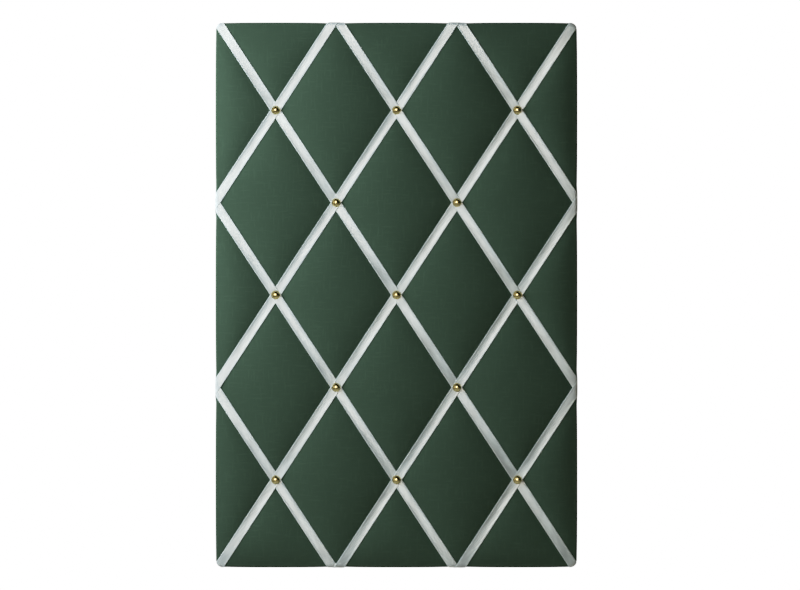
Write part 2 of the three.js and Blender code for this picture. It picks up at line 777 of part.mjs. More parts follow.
function ringGeometry() {
  const start = ringSplit / 2;
  const turn = ringHalfWidth - ringCornerRadius;
  const outline = new THREE.Path();
  outline.moveTo(start, 0);
  outline.lineTo(turn, 0);
  outline.absarc(turn, ringCornerRadius, ringCornerRadius, -Math.PI / 2, 0, false);
  outline.lineTo(ringHalfWidth, ringSideLength);
  outline.absarc(0, ringSideLength, ringHalfWidth, 0, Math.PI, false);
  outline.lineTo(-ringHalfWidth, ringCornerRadius);
  outline.absarc(-turn, ringCornerRadius, ringCornerRadius, Math.PI, 1.5 * Math.PI, false);
  outline.lineTo(-start, 0);
  const section = new THREE.Shape();
  section.absarc(0, 0, wireDiameter / 2, 0, 2 * Math.PI, false);
  const extrudePath = new WirePath(outline);
  const settings = { steps: wireSteps, curveSegments: wireSides / 2, extrudePath, bevelEnabled: false };
  return geometryOf(solidOf(new THREE.ExtrudeGeometry(section, settings)));
}

function screwGeometry() {
  const headUnder = strapThickness + 2 * gap;
  const headTop = headUnder + screwHeadHeight;
  const tip = coreBack - screwInCore;
  const radius = screwDiameter / 2;
  const profile = [
    new THREE.Vector2(0, tip),
    new THREE.Vector2(radius, tip + screwPointLength),
    new THREE.Vector2(radius, headUnder),
    new THREE.Vector2(screwHeadDiameter / 2, headUnder),
    new THREE.Vector2(screwHeadDiameter / 2, headUnder + screwHeadRim),
    new THREE.Vector2(screwHeadCrown / 2, headTop),
    new THREE.Vector2(0, headTop),
  ];
  const blank = solidOf(new THREE.LatheGeometry(profile, screwSides));
  const long = screwSlotLength / 2;
  const thin = screwSlotWidth / 2;
  const floor = headTop - screwSlotDepth;
  const slots = [
    box(-long, long, floor, headTop + cutMargin, -thin, thin),
    box(-thin, thin, floor, headTop + cutMargin, -long, long),
  ];
  return geometryOf(blank.subtract(joined(slots)));
}

// Materials
function material(color, roughness, metalness) {
  return new THREE.MeshStandardMaterial({ color, roughness, metalness });
}

const fibreboard = () => material('#9c7a52', 0.85, 0);
const wadding = () => material('#e9e7e0', 1, 0);
const greenCotton = () => material('#3c5244', 0.9, 0);
const satinRibbon = () => material('#c4c8ca', 0.45, 0);
const brass = () => material('#b8923f', 0.25, 1);
const staplingWire = () => material('#a9abad', 0.4, 1);
const greyFelt = () => material('#55585a', 1, 0);
const nickelPlate = () => material('#b9bab6', 0.3, 1);

const memoBoard = new THREE.Group();

function addPiece(name, geometry, finish) {
  const piece = new THREE.Mesh(geometry, finish);
  piece.name = name;
  memoBoard.add(piece);
  return piece;
}

// Ribbons and the staples on their ends
const nails = nailPlaces();
const shankCuts = joined(nails.map(shankCut));
const stapleCuts = [];
const staples = [];
for (const rising of [true, false]) {
  const family = rising ? 'rising' : 'falling';
  for (let number = -outerRibbon; number <= outerRibbon; number += 1) {
    const { cells, tail } = ribbonPlan(rising, number);
    const ends = ribbonEnds(rising, number, tail);
    const cuts = ends.map((end) => stapleSolid(end, gap));
    const strip = skin(cells, ribbonThickness, (point) => gap + ribbonLift(point, rising, number, tail));
    const ribbon = strip.subtract(shankCuts).subtract(joined(cuts));
    addPiece(`ribbon_${family}_${number + halfDiamonds}`, geometryOf(ribbon), satinRibbon());
    stapleCuts.push(...cuts);
    staples.push(...ends.map((end) => stapleSolid(end, 0)));
  }
}
staples.forEach((staple, index) => {
  addPiece(`ribbon_staple_${index + 1}`, geometryOf(staple), staplingWire());
});

// Fabric, wadding and core
const skinCells = [...boardSkin(), ...hemCells()];
const fabric = skin(skinCells, fabricThickness, () => -fabricThickness).subtract(shankCuts);
addPiece('fabric_cover', geometryOf(fabric), greenCotton());

const stuffing = body(underFabric);
const farX = boardWidth;
const farZ = boardHeight;
const front = nailSeat - cutMargin;
const waddingBlock = stuffing.intersect(box(-farX, farX, front, waddingBack, -farZ, farZ));
addPiece('wadding_pad', geometryOf(waddingBlock.subtract(shankCuts)), wadding());

const screwCuts = [-1, 1].map((side) => {
  const geometry = geometryOf(cylinderAlongY(screwHoleRadius, coreBack - screwInCore - gap, 0, screwZ));
  geometry.translate((side * hangerSpacing) / 2, 0, 0);
  return solidOf(geometry);
});
const coreBlock = stuffing.intersect(box(-farX, farX, coreFront, 0, -farZ, farZ));
const core = coreBlock.subtract(shankCuts).subtract(joined([...stapleCuts, ...screwCuts]));
addPiece('core_board', geometryOf(core), fibreboard());

// Nails
nails.forEach((spot, index) => {
  const nail = addPiece(`nail_${index + 1}`, nailGeometry(), brass());
  nail.position.set(spot.x, 0, spot.z);
});

// Felt and hangers on the back
addPiece('felt_back', geometryOf(feltSolid()), greyFelt());

for (const [side, sign] of [['left', -1], ['right', 1]]) {
  const x = (sign * hangerSpacing) / 2;
  const strap = addPiece(`hanger_strap_${side}`, strapGeometry(), nickelPlate());
  strap.position.set(x, ringAxisY, ringAxisZ);
  const ring = addPiece(`d_ring_${side}`, ringGeometry(), nickelPlate());
  ring.position.set(x, ringAxisY, ringAxisZ);
  ring.rotation.x = ringLean;
  const screw = addPiece(`hanger_screw_${side}`, screwGeometry(), nickelPlate());
  screw.position.set(x, 0, screwZ);
}

export default memoBoard;
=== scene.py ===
"""Looks of a french memo board: tufted cotton, satin ribbons, dome nails, a felt back and ring hangers.

Laid out as an add-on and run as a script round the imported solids. Metres; the front faces -Y and +Z is up.
"""

import json
import math

import bmesh
import bpy
import numpy as np
from mathutils import Matrix, Vector


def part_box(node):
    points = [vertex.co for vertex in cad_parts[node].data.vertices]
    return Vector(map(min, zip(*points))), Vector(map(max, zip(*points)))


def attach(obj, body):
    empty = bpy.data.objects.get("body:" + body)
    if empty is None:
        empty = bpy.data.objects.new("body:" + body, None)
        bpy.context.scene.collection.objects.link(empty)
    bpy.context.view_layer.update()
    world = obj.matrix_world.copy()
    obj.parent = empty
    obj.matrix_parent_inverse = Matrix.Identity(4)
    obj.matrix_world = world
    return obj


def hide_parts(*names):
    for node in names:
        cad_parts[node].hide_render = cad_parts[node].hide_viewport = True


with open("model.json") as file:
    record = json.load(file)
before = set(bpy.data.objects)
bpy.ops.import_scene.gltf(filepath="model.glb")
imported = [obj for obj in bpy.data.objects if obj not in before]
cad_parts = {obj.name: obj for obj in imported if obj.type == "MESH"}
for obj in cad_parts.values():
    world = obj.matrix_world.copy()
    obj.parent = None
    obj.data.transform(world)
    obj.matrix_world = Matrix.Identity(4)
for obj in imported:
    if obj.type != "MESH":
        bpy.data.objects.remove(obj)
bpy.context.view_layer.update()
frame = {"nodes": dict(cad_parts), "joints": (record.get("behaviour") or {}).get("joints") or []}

bl_info = {
    "name": "French Memo Board",
    "version": (1, 0, 0),
    "blender": (4, 5, 0),
    "location": "View3D > Sidebar > Memo Board",
    "description": "Dresses the packed memo board in cotton, satin ribbon, brass, felt and nickel",
    "category": "Object",
}

MM = 0.001
QUARTER_TURN = math.pi / 2
NO_LENGTH = 1e-9
WHITE = 2.0  # light that shows as pure white
RANGE = ("Value", "From Min", "From Max", "To Min", "To Max")  # inputs of a Map Range node

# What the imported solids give
cover_low, cover_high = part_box("fabric_cover")
wadding_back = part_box("wadding_pad")[1].y
felt_low, felt_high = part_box("felt_back")
NAIL_COUNT = 13
nail_boxes = [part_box(f"nail_{number}") for number in range(1, NAIL_COUNT + 1)]
ring_axes = {joint["child"]: Vector(joint["pos_m"]) for joint in frame["joints"]}

# The lattice: five ribbons each way, numbered from the middle, and the crossings (column, row) where the
# rising ribbon lies on top. Past the last nails, at the edges, the rising ribbon is always on top.
OUTER_RIBBON = 2
RIBBONS = range(-OUTER_RIBBON, OUTER_RIBBON + 1)
EDGE_STEP = 3
RISING_ON_TOP = {(-2, 2), (-1, 1), (-1, -1), (1, -1), (-2, -2), (0, -2), (2, -2)}


def linear(hex_colour):
    """Linear red, green and blue of an sRGB hex colour."""
    channels = [int(hex_colour[start : start + 2], 16) / 255 for start in (1, 3, 5)]
    return tuple(c / 12.92 if c <= 0.04045 else ((c + 0.055) / 1.055) ** 2.4 for c in channels)


def length_property(name, description, default):
    return bpy.props.FloatProperty(
        name=name, description=description, default=default, precision=5, unit="LENGTH"
    )


def power_property(name, description, default):
    return bpy.props.FloatProperty(name=name, description=description, default=default, unit="POWER")


def colour_property(name, description, hex_colour):
    return bpy.props.FloatVectorProperty(
        name=name, description=description, default=linear(hex_colour), min=0, max=1, subtype="COLOR"
    )


class MemoBoardSizes(bpy.types.PropertyGroup):
    """Sizes of the padded board and what is on it."""

    board_width: length_property("Width", "Width of the covered board", cover_high.x - cover_low.x)
    board_height: length_property("Height", "Height of the covered board", cover_high.z - cover_low.z)
    corner_radius: length_property("Corner radius", "Round of the corners, seen from the front", 8 * MM)
    edge_round: length_property("Edge round", "Round of the padded front edge", 3 * MM)
    back_fold: length_property("Back fold", "Round where the cover turns on to the back", 1.5 * MM)
    groove_level: length_property("Groove level", "Depth of the cover's face under the ribbons", -19.0 * MM)
    pillow_depth: length_property("Pillow depth", "Height of a diamond above the ribbons", 3.4 * MM)
    pillow_reach: length_property("Pillow reach", "How soon a diamond rises beside a ribbon", 11 * MM)
    edge_fall: length_property("Edge fall", "How far in from the edge the front starts to fall", 20 * MM)
    edge_roll: length_property("Edge roll", "How much the front rolls down towards the edge", 1.0 * MM)
    edge_swell: length_property("Edge swell", "How far the edge swells between the ribbons", 0.6 * MM)
    nail_dip: length_property("Nail dip", "How much deeper a nail pulls its crossing", 2.95 * MM)
    nail_dip_reach: length_property("Nail dip reach", "How far a nail's dip spreads", 80 * MM)
    cover_thickness: length_property("Cover thickness", "Thickness of the cotton", 0.8 * MM)
    hem_width: length_property("Hem width", "Width of the cotton turned on to the back", 11.6 * MM)
    ribbon_width: length_property("Ribbon width", "Width of the satin ribbon", 10 * MM)
    ribbon_thickness: length_property("Ribbon thickness", "Thickness of the satin ribbon", 0.3 * MM)
    clearance: length_property("Clearance", "Room between layers that touch", 0.3 * MM)
    head_diameter: length_property("Nail head", "Diameter of a nail's domed head", 10 * MM)
    head_height: length_property("Nail head height", "Height of a nail's domed head", 3.6 * MM)
    shank_width: length_property("Nail shank", "Width of a nail's square shank", 1.8 * MM)
    wire_diameter: length_property("Ring wire", "Diameter of the hangers' ring wire", 2.4 * MM)
    ring_inner_width: length_property("Ring width", "Inside width of a hanger's ring", 18 * MM)
    strap_width: length_property("Strap width", "Width of a hanger's strap", 10 * MM)
    strap_thickness: length_property("Strap thickness", "Thickness of a hanger's strap", 0.9 * MM)
    strap_length: length_property("Strap length", "From the ring's axis to the strap's end", 15 * MM)


class MemoBoardColours(bpy.types.PropertyGroup):
    """Colours of the board's materials."""

    cotton: colour_property("Cotton", "Dyed cotton of the cover", "#435341")
    ribbon: colour_property("Ribbon", "Satin of the ribbons", "#E5E7DF")
    brass: colour_property("Brass", "Polished brass of the nails", "#D8C586")
    felt: colour_property("Felt", "Felt on the back", "#55585A")
    nickel: colour_property("Nickel", "Nickel plate of the hangers", "#C4C3BD")
    fibreboard: colour_property("Fibreboard", "Core of the board", "#9C7A52")
    wadding: colour_property("Wadding", "Polyester wadding under the cover", "#E9E7E0")
    staples: colour_property("Staples", "Galvanised wire of the staples", "#A9ABAD")


class MemoBoardStage(bpy.types.PropertyGroup):
    """Camera, light and floor."""

    camera_distance: length_property("Camera distance", "From the lens to the board's face", 2.6)
    frame_width: length_property("Frame width", "Width of the picture at the board's face", 0.886)
    camera_side: length_property("Camera side", "How far right of the middle the camera stands", 3.9 * MM)
    floor_drop: length_property("Floor drop", "How far below the board's middle the floor lies", 1.1)
    key_power: power_property("Key light", "Power of the window-like light on the left", 16.3)
    side_power: power_property("Side light", "Power of the soft light on the right side and the top", 7.0)
    back_power: power_property("Back light", "Power of the soft light behind the board", 32.0)
    sky: bpy.props.FloatProperty(
        name="Sky", description="Strength of the even light from all round", default=0.04
    )


# Nodes and materials


def plug(node, inputs):
    """Gives each named input of a node a value, or links it to an output or to a node's first output."""
    for socket, source in inputs.items():
        if isinstance(source, bpy.types.Node):
            source = source.outputs[0]
        if isinstance(source, bpy.types.NodeSocket):
            node.id_data.links.new(source, node.inputs[socket])
        else:
            node.inputs[socket].default_value = source


def add_node(tree, kind, inputs=None, **settings):
    """Adds a node with its settings, input values and links."""
    node = tree.nodes.new(kind)
    for name, value in settings.items():
        setattr(node, name, value)
    plug(node, inputs or {})
    return node


def new_material(name, constants):
    """A named material, its node tree and its shader, with the shader's constant inputs set."""
    material = bpy.data.materials.new(name)
    material.use_nodes = True
    shader = material.node_tree.nodes["Principled BSDF"]
    plug(shader, constants)
    return material, material.node_tree, shader


def rgba(colour, share=1.0):
    return (*[min(channel * share, 1.0) for channel in colour], 1.0)


def patches(tree, place, wide, long):
    """Noise in soft patches of this width and length on the unrolled cloth."""
    lie = add_node(tree, "ShaderNodeMapping", {0: place, "Scale": (1 / wide, 1 / long, 1)})
    return add_node(tree, "ShaderNodeTexNoise", {"Vector": lie, "Scale": 1, "Detail": 2, "Roughness": 0.5})


def laid_on(tree, under, pattern, limits, shares, colour):
    """A colour laid over another: its share grows while the pattern goes from one limit to the other."""
    share = add_node(tree, "ShaderNodeMapRange", dict(zip(RANGE, (pattern, *limits, *shares))))
    return add_node(tree, "ShaderNodeMix", {0: share, 6: under, 7: colour}, data_type="RGBA").outputs[2]


def cotton_material(colour):
    """Piece-dyed plain-woven cotton: matt, with a faint grid of threads, slubs and uneven dye."""
    constants = {"Roughness": 0.86, "Specular IOR Level": 0.06, "Sheen Weight": 0.12, "Sheen Roughness": 0.45}
    material, tree, shader = new_material("dyed_cotton_weave", constants)
    cloth = add_node(tree, "ShaderNodeUVMap", uv_map="Threads")
    # Real threads lie about 0.45 mm apart; drawn at 0.9 mm, so that a close view shows them.
    thread = 0.9 * MM
    counted = add_node(tree, "ShaderNodeVectorMath", {0: cloth, "Scale": math.pi / thread}, operation="SCALE")
    split = add_node(tree, "ShaderNodeSeparateXYZ", {0: counted}).outputs
    waves = [add_node(tree, "ShaderNodeMath", {0: split[way]}, operation="SINE") for way in ("X", "Y")]
    over = add_node(tree, "ShaderNodeMath", {0: waves[0], 1: waves[1]}, operation="MULTIPLY")
    which = add_node(tree, "ShaderNodeMapRange", {"Value": over, "From Min": -0.3, "From Max": 0.3})
    warp, weft = [add_node(tree, "ShaderNodeMath", {0: wave}, operation="ABSOLUTE") for wave in waves]
    weave = add_node(tree, "ShaderNodeMix", {0: which, 2: warp, 3: weft}, data_type="FLOAT")
    # Slubs are thick places about 1 mm wide and 10 mm long, along the weft and along the warp; drawn 2.4 mm
    # wide and 16 mm long, so that they show.
    slub_width, slub_length = 2.4 * MM, 16 * MM
    along_weft = patches(tree, cloth, slub_length, slub_width)
    along_warp = patches(tree, cloth, slub_width, slub_length)
    slub = add_node(tree, "ShaderNodeMath", {0: along_weft, 1: along_warp}, operation="MAXIMUM")
    dye_size, lint_size = 70 * MM, 2.6 * MM
    clouds = {"Vector": cloth, "Scale": 1 / dye_size, "Detail": 3, "Roughness": 0.55}
    dye = add_node(tree, "ShaderNodeTexNoise", clouds)
    specks = {"Vector": cloth, "Scale": 1 / lint_size, "Detail": 2, "Roughness": 0.7}
    lint = add_node(tree, "ShaderNodeTexNoise", specks)
    tints = {0: weave, 6: rgba(colour, 0.78), 7: rgba(colour, 1.12)}
    surface = add_node(tree, "ShaderNodeMix", tints, data_type="RGBA").outputs[2]
    surface = laid_on(tree, surface, slub, (0.47, 0.74), (-0.2, 0.55), rgba(colour, 1.3))
    surface = laid_on(tree, surface, dye, (0.3, 0.75), (0, 0.22), rgba(colour, 0.7))
    surface = laid_on(tree, surface, lint, (0.74, 0.82), (0, 0.25), rgba(colour, 2.2))
    relief = add_node(tree, "ShaderNodeMath", {0: weave, 1: slub}, operation="ADD")
    bump = add_node(tree, "ShaderNodeBump", {"Height": relief, "Strength": 0.35, "Distance": 0.12 * MM})
    plug(shader, {"Base Color": surface, "Normal": bump})
    return material


def ribbon_material(colour, width):
    """Woven satin ribbon: long warp floats give it a soft gloss, and a firmer selvedge edges it."""
    constants = {"Specular IOR Level": 1.0, "Anisotropic": 0.7, "Sheen Weight": 0.1, "Sheen Roughness": 0.3}
    material, tree, shader = new_material("satin_ribbon_weave", constants)
    strip = add_node(tree, "ShaderNodeUVMap", uv_map="Threads")
    # The floats run lengthwise, so the gloss spreads across the ribbon and changes soon along it.
    spread = add_node(tree, "ShaderNodeTangent", direction_type="UV_MAP", uv_map="Threads")
    # Real warp ends lie about 0.1 mm apart; drawn at 0.5 mm, so that a close view shows them.
    warp_end, float_length = 0.5 * MM, 9 * MM
    floats = patches(tree, strip, warp_end, float_length)
    # Painted sheen: the satin's colour is darker in patches as wide as the ribbon and 30 mm long, standing in
    # for the dull and glossy bands of its reflection.
    painted_sheen_patches = patches(tree, strip, width, 30 * MM)
    across = add_node(tree, "ShaderNodeSeparateXYZ", {0: strip}).outputs["X"]
    aside = add_node(tree, "ShaderNodeMath", {0: across}, operation="ABSOLUTE")
    selvedge = (width / 2 - 0.9 * MM, width / 2 - 0.5 * MM)
    tints = {0: floats, 6: rgba(colour, 0.94), 7: rgba(colour, 1.1)}
    surface = add_node(tree, "ShaderNodeMix", tints, data_type="RGBA").outputs[2]
    # Painted sheen: dull bands of reflection laid into the satin's colour as darker patches.
    surface = laid_on(tree, surface, painted_sheen_patches, (0.4, 0.62), (0, 1), rgba(colour, 0.76))
    surface = laid_on(tree, surface, aside, selvedge, (0, 1), rgba(colour, 1.02))
    gloss = add_node(tree, "ShaderNodeMapRange", dict(zip(RANGE, (aside, *selvedge, 0.33, 0.6))))
    bump = add_node(tree, "ShaderNodeBump", {"Height": floats, "Strength": 0.3, "Distance": 0.08 * MM})
    plug(shader, {"Base Color": surface, "Roughness": gloss, "Normal": bump, "Tangent": spread})
    return material


def metal_material(name, colour, roughness, wear):
    """Plated or polished metal: even gloss broken by fine handling marks and a slightly duller bloom."""
    material, tree, shader = new_material(name, {"Metallic": 1.0})
    place = add_node(tree, "ShaderNodeTexCoord").outputs["Object"]
    bloom_size, mark_size = 3 * MM, 0.35 * MM
    clouds = {"Vector": place, "Scale": 1 / bloom_size, "Detail": 3, "Roughness": 0.6}
    bloom = add_node(tree, "ShaderNodeTexNoise", clouds)
    scratches = {"Vector": place, "Scale": 1 / mark_size, "Detail": 4, "Roughness": 0.7}
    marks = add_node(tree, "ShaderNodeTexNoise", scratches)
    tints = {0: bloom, 6: rgba(colour, 1 - wear), 7: rgba(colour, 1 + wear / 3)}
    surface = add_node(tree, "ShaderNodeMix", tints, data_type="RGBA").outputs[2]
    limits = (roughness * 0.75, roughness * 1.35)
    gloss = add_node(tree, "ShaderNodeMapRange", dict(zip(RANGE, (bloom, 0.3, 0.7, *limits))))
    bump = add_node(tree, "ShaderNodeBump", {"Height": marks, "Strength": 0.05, "Distance": 0.02 * MM})
    plug(shader, {"Base Color": surface, "Roughness": gloss, "Normal": bump})
    return material


def fibre_material(name, colour, fibre_width, fibre_length, relief, spread):
    """Matted fibres with no weave: mottled light and dark, quite matt and slightly hairy."""
    constants = {"Roughness": 0.95, "Specular IOR Level": 0.1, "Sheen Weight": 0.15}
    material, tree, shader = new_material(name, constants)
    place = add_node(tree, "ShaderNodeTexCoord").outputs["Object"]
    size = (fibre_width, fibre_width, fibre_length)
    layers = []
    for turn in (0.4, 1.5, 2.6):
        lying = {0: place, "Rotation": (0, turn, 0), "Scale": size}
        lie = add_node(tree, "ShaderNodeMapping", lying, vector_type="TEXTURE")
        fibres = {"Vector": lie, "Scale": 1, "Detail": 2, "Roughness": 0.55, "Distortion": 0.8}
        layers.append(add_node(tree, "ShaderNodeTexNoise", fibres))
    crossed = add_node(tree, "ShaderNodeMath", {0: layers[0], 1: layers[1]}, operation="MAXIMUM")
    matted = add_node(tree, "ShaderNodeMath", {0: crossed, 1: layers[2]}, operation="MAXIMUM")
    dark, pale = rgba(colour, 1 - spread), rgba(colour, 1 + spread)
    surface = laid_on(tree, dark, matted, (0.45, 0.8), (0, 1), pale)
    bump = add_node(tree, "ShaderNodeBump", {"Height": matted, "Strength": 0.6, "Distance": relief})
    plug(shader, {"Base Color": surface, "Normal": bump})
    return material


# Meshes


def new_piece(name, points, faces, material, threads=None):
    """A mesh object at the origin, with its material and the unrolled place of its points as a UV map."""
    mesh = bpy.data.meshes.new(name)
    mesh.from_pydata([tuple(point) for point in points], [], faces)
    if threads is not None:
        layer = mesh.uv_layers.new(name="Threads")
        corners = np.empty(len(mesh.loops), np.int32)
        mesh.loops.foreach_get("vertex_index", corners)
        layer.data.foreach_set("uv", np.asarray(threads, np.float32)[corners].ravel())
    mesh.materials.append(material)
    mesh.polygons.foreach_set("use_smooth", [True] * len(mesh.polygons))
    mesh.validate()
    piece = bpy.data.objects.new(name, mesh)
    bpy.context.scene.collection.objects.link(piece)
    return piece


def settle(piece):
    """Puts what the modifiers make into the piece's own mesh and removes them."""
    graph = bpy.context.evaluated_depsgraph_get()
    mesh = bpy.data.meshes.new_from_object(
        piece.evaluated_get(graph), preserve_all_data_layers=True, depsgraph=graph
    )
    old = piece.data
    piece.modifiers.clear()
    piece.data = mesh
    bpy.data.meshes.remove(old)
    mesh.name = piece.name


def face_outward(piece):
    """Merges doubles and turns every face of a closed mesh outwards."""
    shape = bmesh.new()
    shape.from_mesh(piece.data)
    bmesh.ops.remove_doubles(shape, verts=shape.verts, dist=1e-7)
    bmesh.ops.recalc_face_normals(shape, faces=shape.faces)
    shape.to_mesh(piece.data)
    shape.free()


def sharpen(piece, degrees):
    """Shades edges sharp where faces meet at more than this angle."""
    piece.data.set_sharp_from_angle(angle=math.radians(degrees))


def net_faces(columns, rows):
    """Faces of a net whose points are numbered row by row."""
    wide = columns + 1
    lows = [row * wide + column for row in range(rows) for column in range(columns)]
    return [(low, low + 1, low + wide + 1, low + wide) for low in lows]


def net_sides(columns, rows):
    """Point numbers along a net's four sides in turn, each side from corner to corner."""
    wide = columns + 1
    last = rows * wide
    return [
        list(range(wide)),
        list(range(columns, last + wide, wide)),
        list(range(last + columns, last - 1, -1)),
        list(range(last, -1, -wide)),
    ]


def band(near, far):
    """Faces between two closed loops of point numbers, with triangles where a loop repeats a point."""
    loops = zip(near, far, [*far[1:], far[0]], [*near[1:], near[0]])
    return [tuple(dict.fromkeys(corners)) for corners in loops]


def swept(sections):
    """Points and faces of a solid swept through equal closed loops of points, with end caps."""
    count = len(sections[0])
    loops = [list(range(start, start + count)) for start in range(0, count * len(sections), count)]
    faces = [face for near, far in zip(loops, loops[1:]) for face in band(near, far)]
    return np.concatenate(sections), [*faces, tuple(loops[0]), tuple(loops[-1][::-1])]


def tube(path, radius, sides):
    """Points and faces of a round wire along a path that lies in one plane."""
    path = np.asarray(path, float)
    tangents = np.gradient(path, axis=0)
    tangents /= np.linalg.norm(tangents, axis=1)[:, None]
    across = np.cross(path[len(path) // 4] - path[0], path[len(path) // 2] - path[0])
    across /= np.linalg.norm(across)
    turns = np.linspace(0, 2 * math.pi, sides, endpoint=False)
    sections = []
    for place, tangent in zip(path, tangents):
        beside = np.cross(tangent, across)
        sections.append(place + radius * (np.outer(np.cos(turns), across) + np.outer(np.sin(turns), beside)))
    return swept(sections)


def lathe(profile, sides, centre):
    """Points and faces turned about the Y axis through centre; profile holds (radius, y) from tip to tip."""
    points, faces, loops = [], [], []
    turns = np.linspace(0, 2 * math.pi, sides, endpoint=False)
    for radius, depth in profile:
        first = len(points)
        if radius < NO_LENGTH:
            loops.append([first] * sides)
            points.append((centre.x, depth, centre.z))
            continue
        loops.append(list(range(first, first + sides)))
        points += [(centre.x + radius * math.cos(a), depth, centre.z + radius * math.sin(a)) for a in turns]
    for near, far in zip(loops, loops[1:]):
        faces += band(near, far)
    return points, faces


def ease(share):
    """From 0 to 1 with a soft start and end."""
    share = np.clip(share, 0, 1)
    return share * share * (3 - 2 * share)


class BoardShape:
    """The padded board's surface.

    Its skin is drawn unrolled: a point past the flat front lies on the round edge, then on the side, then on
    the back. Inside the corners' rounds the front stays flat a little further."""

    def __init__(self, sizes):
        self.sizes = sizes
        self.inner_x = sizes.board_width / 2 - sizes.corner_radius
        self.inner_z = sizes.board_height / 2 - sizes.corner_radius
        self.inner_corner = math.hypot(self.inner_x, self.inner_z)
        first, last = nail_boxes[0], nail_boxes[-1]
        self.pitch_x = (last[0].x - first[0].x) / (2 * OUTER_RIBBON)
        self.pitch_z = (first[0].z - last[0].z) / (2 * OUTER_RIBBON)
        self.step = math.hypot(self.pitch_x, self.pitch_z)
        self.spacing = 2 * self.pitch_x * self.pitch_z / self.step
        self.diagonal = np.array([self.pitch_x, self.pitch_z]) / self.step
        self.equator = sizes.groove_level + sizes.edge_round
        self.flat = sizes.corner_radius - sizes.edge_round
        self.reach_to_side = self.flat + sizes.edge_round * QUARTER_TURN
        self.side = cover_high.y - sizes.back_fold - self.equator
        self.reach_to_fold = self.reach_to_side + self.side
        self.reach_to_back = self.reach_to_fold + sizes.back_fold * QUARTER_TURN

    def lattice(self, x, z):
        """A place counted in ribbons across each family: whole numbers lie on a ribbon's middle line."""
        return [(x / self.pitch_x + way * z / self.pitch_z) / 2 for way in (1, -1)]

    def swelling(self, x, z):
        """From 0 under the ribbons to 1 in the middle of a diamond."""
        half = 0.6 * self.sizes.ribbon_width
        reach = self.sizes.pillow_reach
        widest = self.spacing / math.pi
        most = math.hypot(widest, half) - half
        shares = 1.0
        for line in self.lattice(x, z):
            far = np.hypot(widest * np.sin(math.pi * line), half) - half
            shares = shares * (1 - np.exp(-far / reach)) / (1 - math.exp(-most / reach))
        return shares

    def rise(self, x, z, turn):
        """How far the front stands above the ribbons' level, less and less as the skin turns to the side."""
        sizes = self.sizes
        flat_x, flat_z = self.inner_x + self.flat, self.inner_z + self.flat
        x = np.clip(x, -flat_x, flat_x)
        z = np.clip(z, -flat_z, flat_z)
        fall = sizes.edge_fall
        past_edge = fall * math.log(1 + sizes.edge_round / fall)
        pillow = sizes.pillow_depth * self.swelling(x, z)
        roll = 0
        for from_edge in (flat_x - np.abs(x), flat_z - np.abs(z)):
            pillow = pillow * (1 - np.exp(-(from_edge + past_edge) / fall))
            roll = roll + sizes.edge_roll * np.clip(1 - from_edge / fall, 0, None) ** 2
        soft = sizes.ribbon_width / 4
        dip = 0
        for low, high in nail_boxes:
            middle = (low + high) / 2
            lines = self.lattice(x - middle.x, z - middle.z)
            far = sum(np.hypot(line * self.spacing, soft) - soft for line in lines)
            dip = dip + np.clip(1 - far / sizes.nail_dip_reach, 0, None) ** 2
        # Both parts keep the front's slope where the round edge starts.
        rolled = roll * np.cos(turn) ** 2 * (1 + 2 * sizes.edge_round * turn / fall)
        return (pillow - sizes.nail_dip * dip) * (1 - np.sin(turn)) - rolled

    def turn(self, reach):
        """How far the skin has turned from the front to the side."""
        return np.clip((reach - self.flat) / self.sizes.edge_round, 0, QUARTER_TURN)

    def profile(self, reach, offset):
        """Round the edge: how far out from the inner front, at which depth, and how far in along the back."""
        radius = self.sizes.edge_round + offset
        fold = self.sizes.back_fold + offset
        turn = self.turn(reach)
        down = np.clip(reach - self.reach_to_side, 0, self.side)
        bend = np.clip((reach - self.reach_to_fold) / self.sizes.back_fold, 0, QUARTER_TURN)
        out = np.minimum(reach, self.flat) + radius * np.sin(turn) - fold * (1 - np.cos(bend))
        depth = self.equator - radius * np.cos(turn) + down + fold * np.sin(bend)
        return out, depth, np.clip(reach - self.reach_to_back, 0, None)

    def beyond(self, x, z):
        """How far a place lies past the inner front, sideways and up or down."""
        return np.clip(np.abs(x) - self.inner_x, 0, None), np.clip(np.abs(z) - self.inner_z, 0, None)

    def place(self, x, z, offset):
        """Where points of the unrolled skin lie, that far out from the cover's face."""
        beyond_x, beyond_z = self.beyond(x, z)
        reach = np.hypot(beyond_x, beyond_z)
        turn = self.turn(reach)
        on_side = ease((reach - self.reach_to_side) / self.side)
        swell = self.sizes.edge_swell * self.swelling(x, z) * np.sin(turn) * (1 - on_side)
        out, depth, inset = self.profile(reach, offset + swell)
        share = (out - inset) / np.maximum(reach, NO_LENGTH)
        depth = depth - self.rise(x, z, turn)
        placed_x = np.sign(x) * (np.minimum(np.abs(x), self.inner_x) + beyond_x * share)
        placed_z = np.sign(z) * (np.minimum(np.abs(z), self.inner_z) + beyond_z * share)
        return np.stack(np.broadcast_arrays(placed_x, depth, placed_z), axis=-1)

    def place_on_corner(self, past, across, offset):
        """A corner ribbon's points past the inner front's corner, where x and z grow outwards.

        Each lengthwise thread runs straight on, over the round corner's edge and down the side."""
        short = self.sizes.corner_radius - np.sqrt(self.sizes.corner_radius**2 - across**2)
        out, depth, inset = self.profile(past + short, offset)
        out = out - short - inset
        x = self.inner_x + out * self.diagonal[0] + across * self.diagonal[1]
        z = self.inner_z + out * self.diagonal[1] - across * self.diagonal[0]
        depth = depth - self.rise(x, z, self.turn(past + short))
        return np.stack(np.broadcast_arrays(x, depth, z), axis=-1)


def edge_reaches(shape, arc_steps):
    """Distances past the inner front where the skin's rings lie."""
    stops = (0, shape.flat, shape.reach_to_side, shape.reach_to_fold, shape.reach_to_back)
    parts = zip(stops, stops[1:], (2, arc_steps, 3, 3))
    return [reach for start, end, steps in parts for reach in np.linspace(start, end, steps + 1)[1:]]


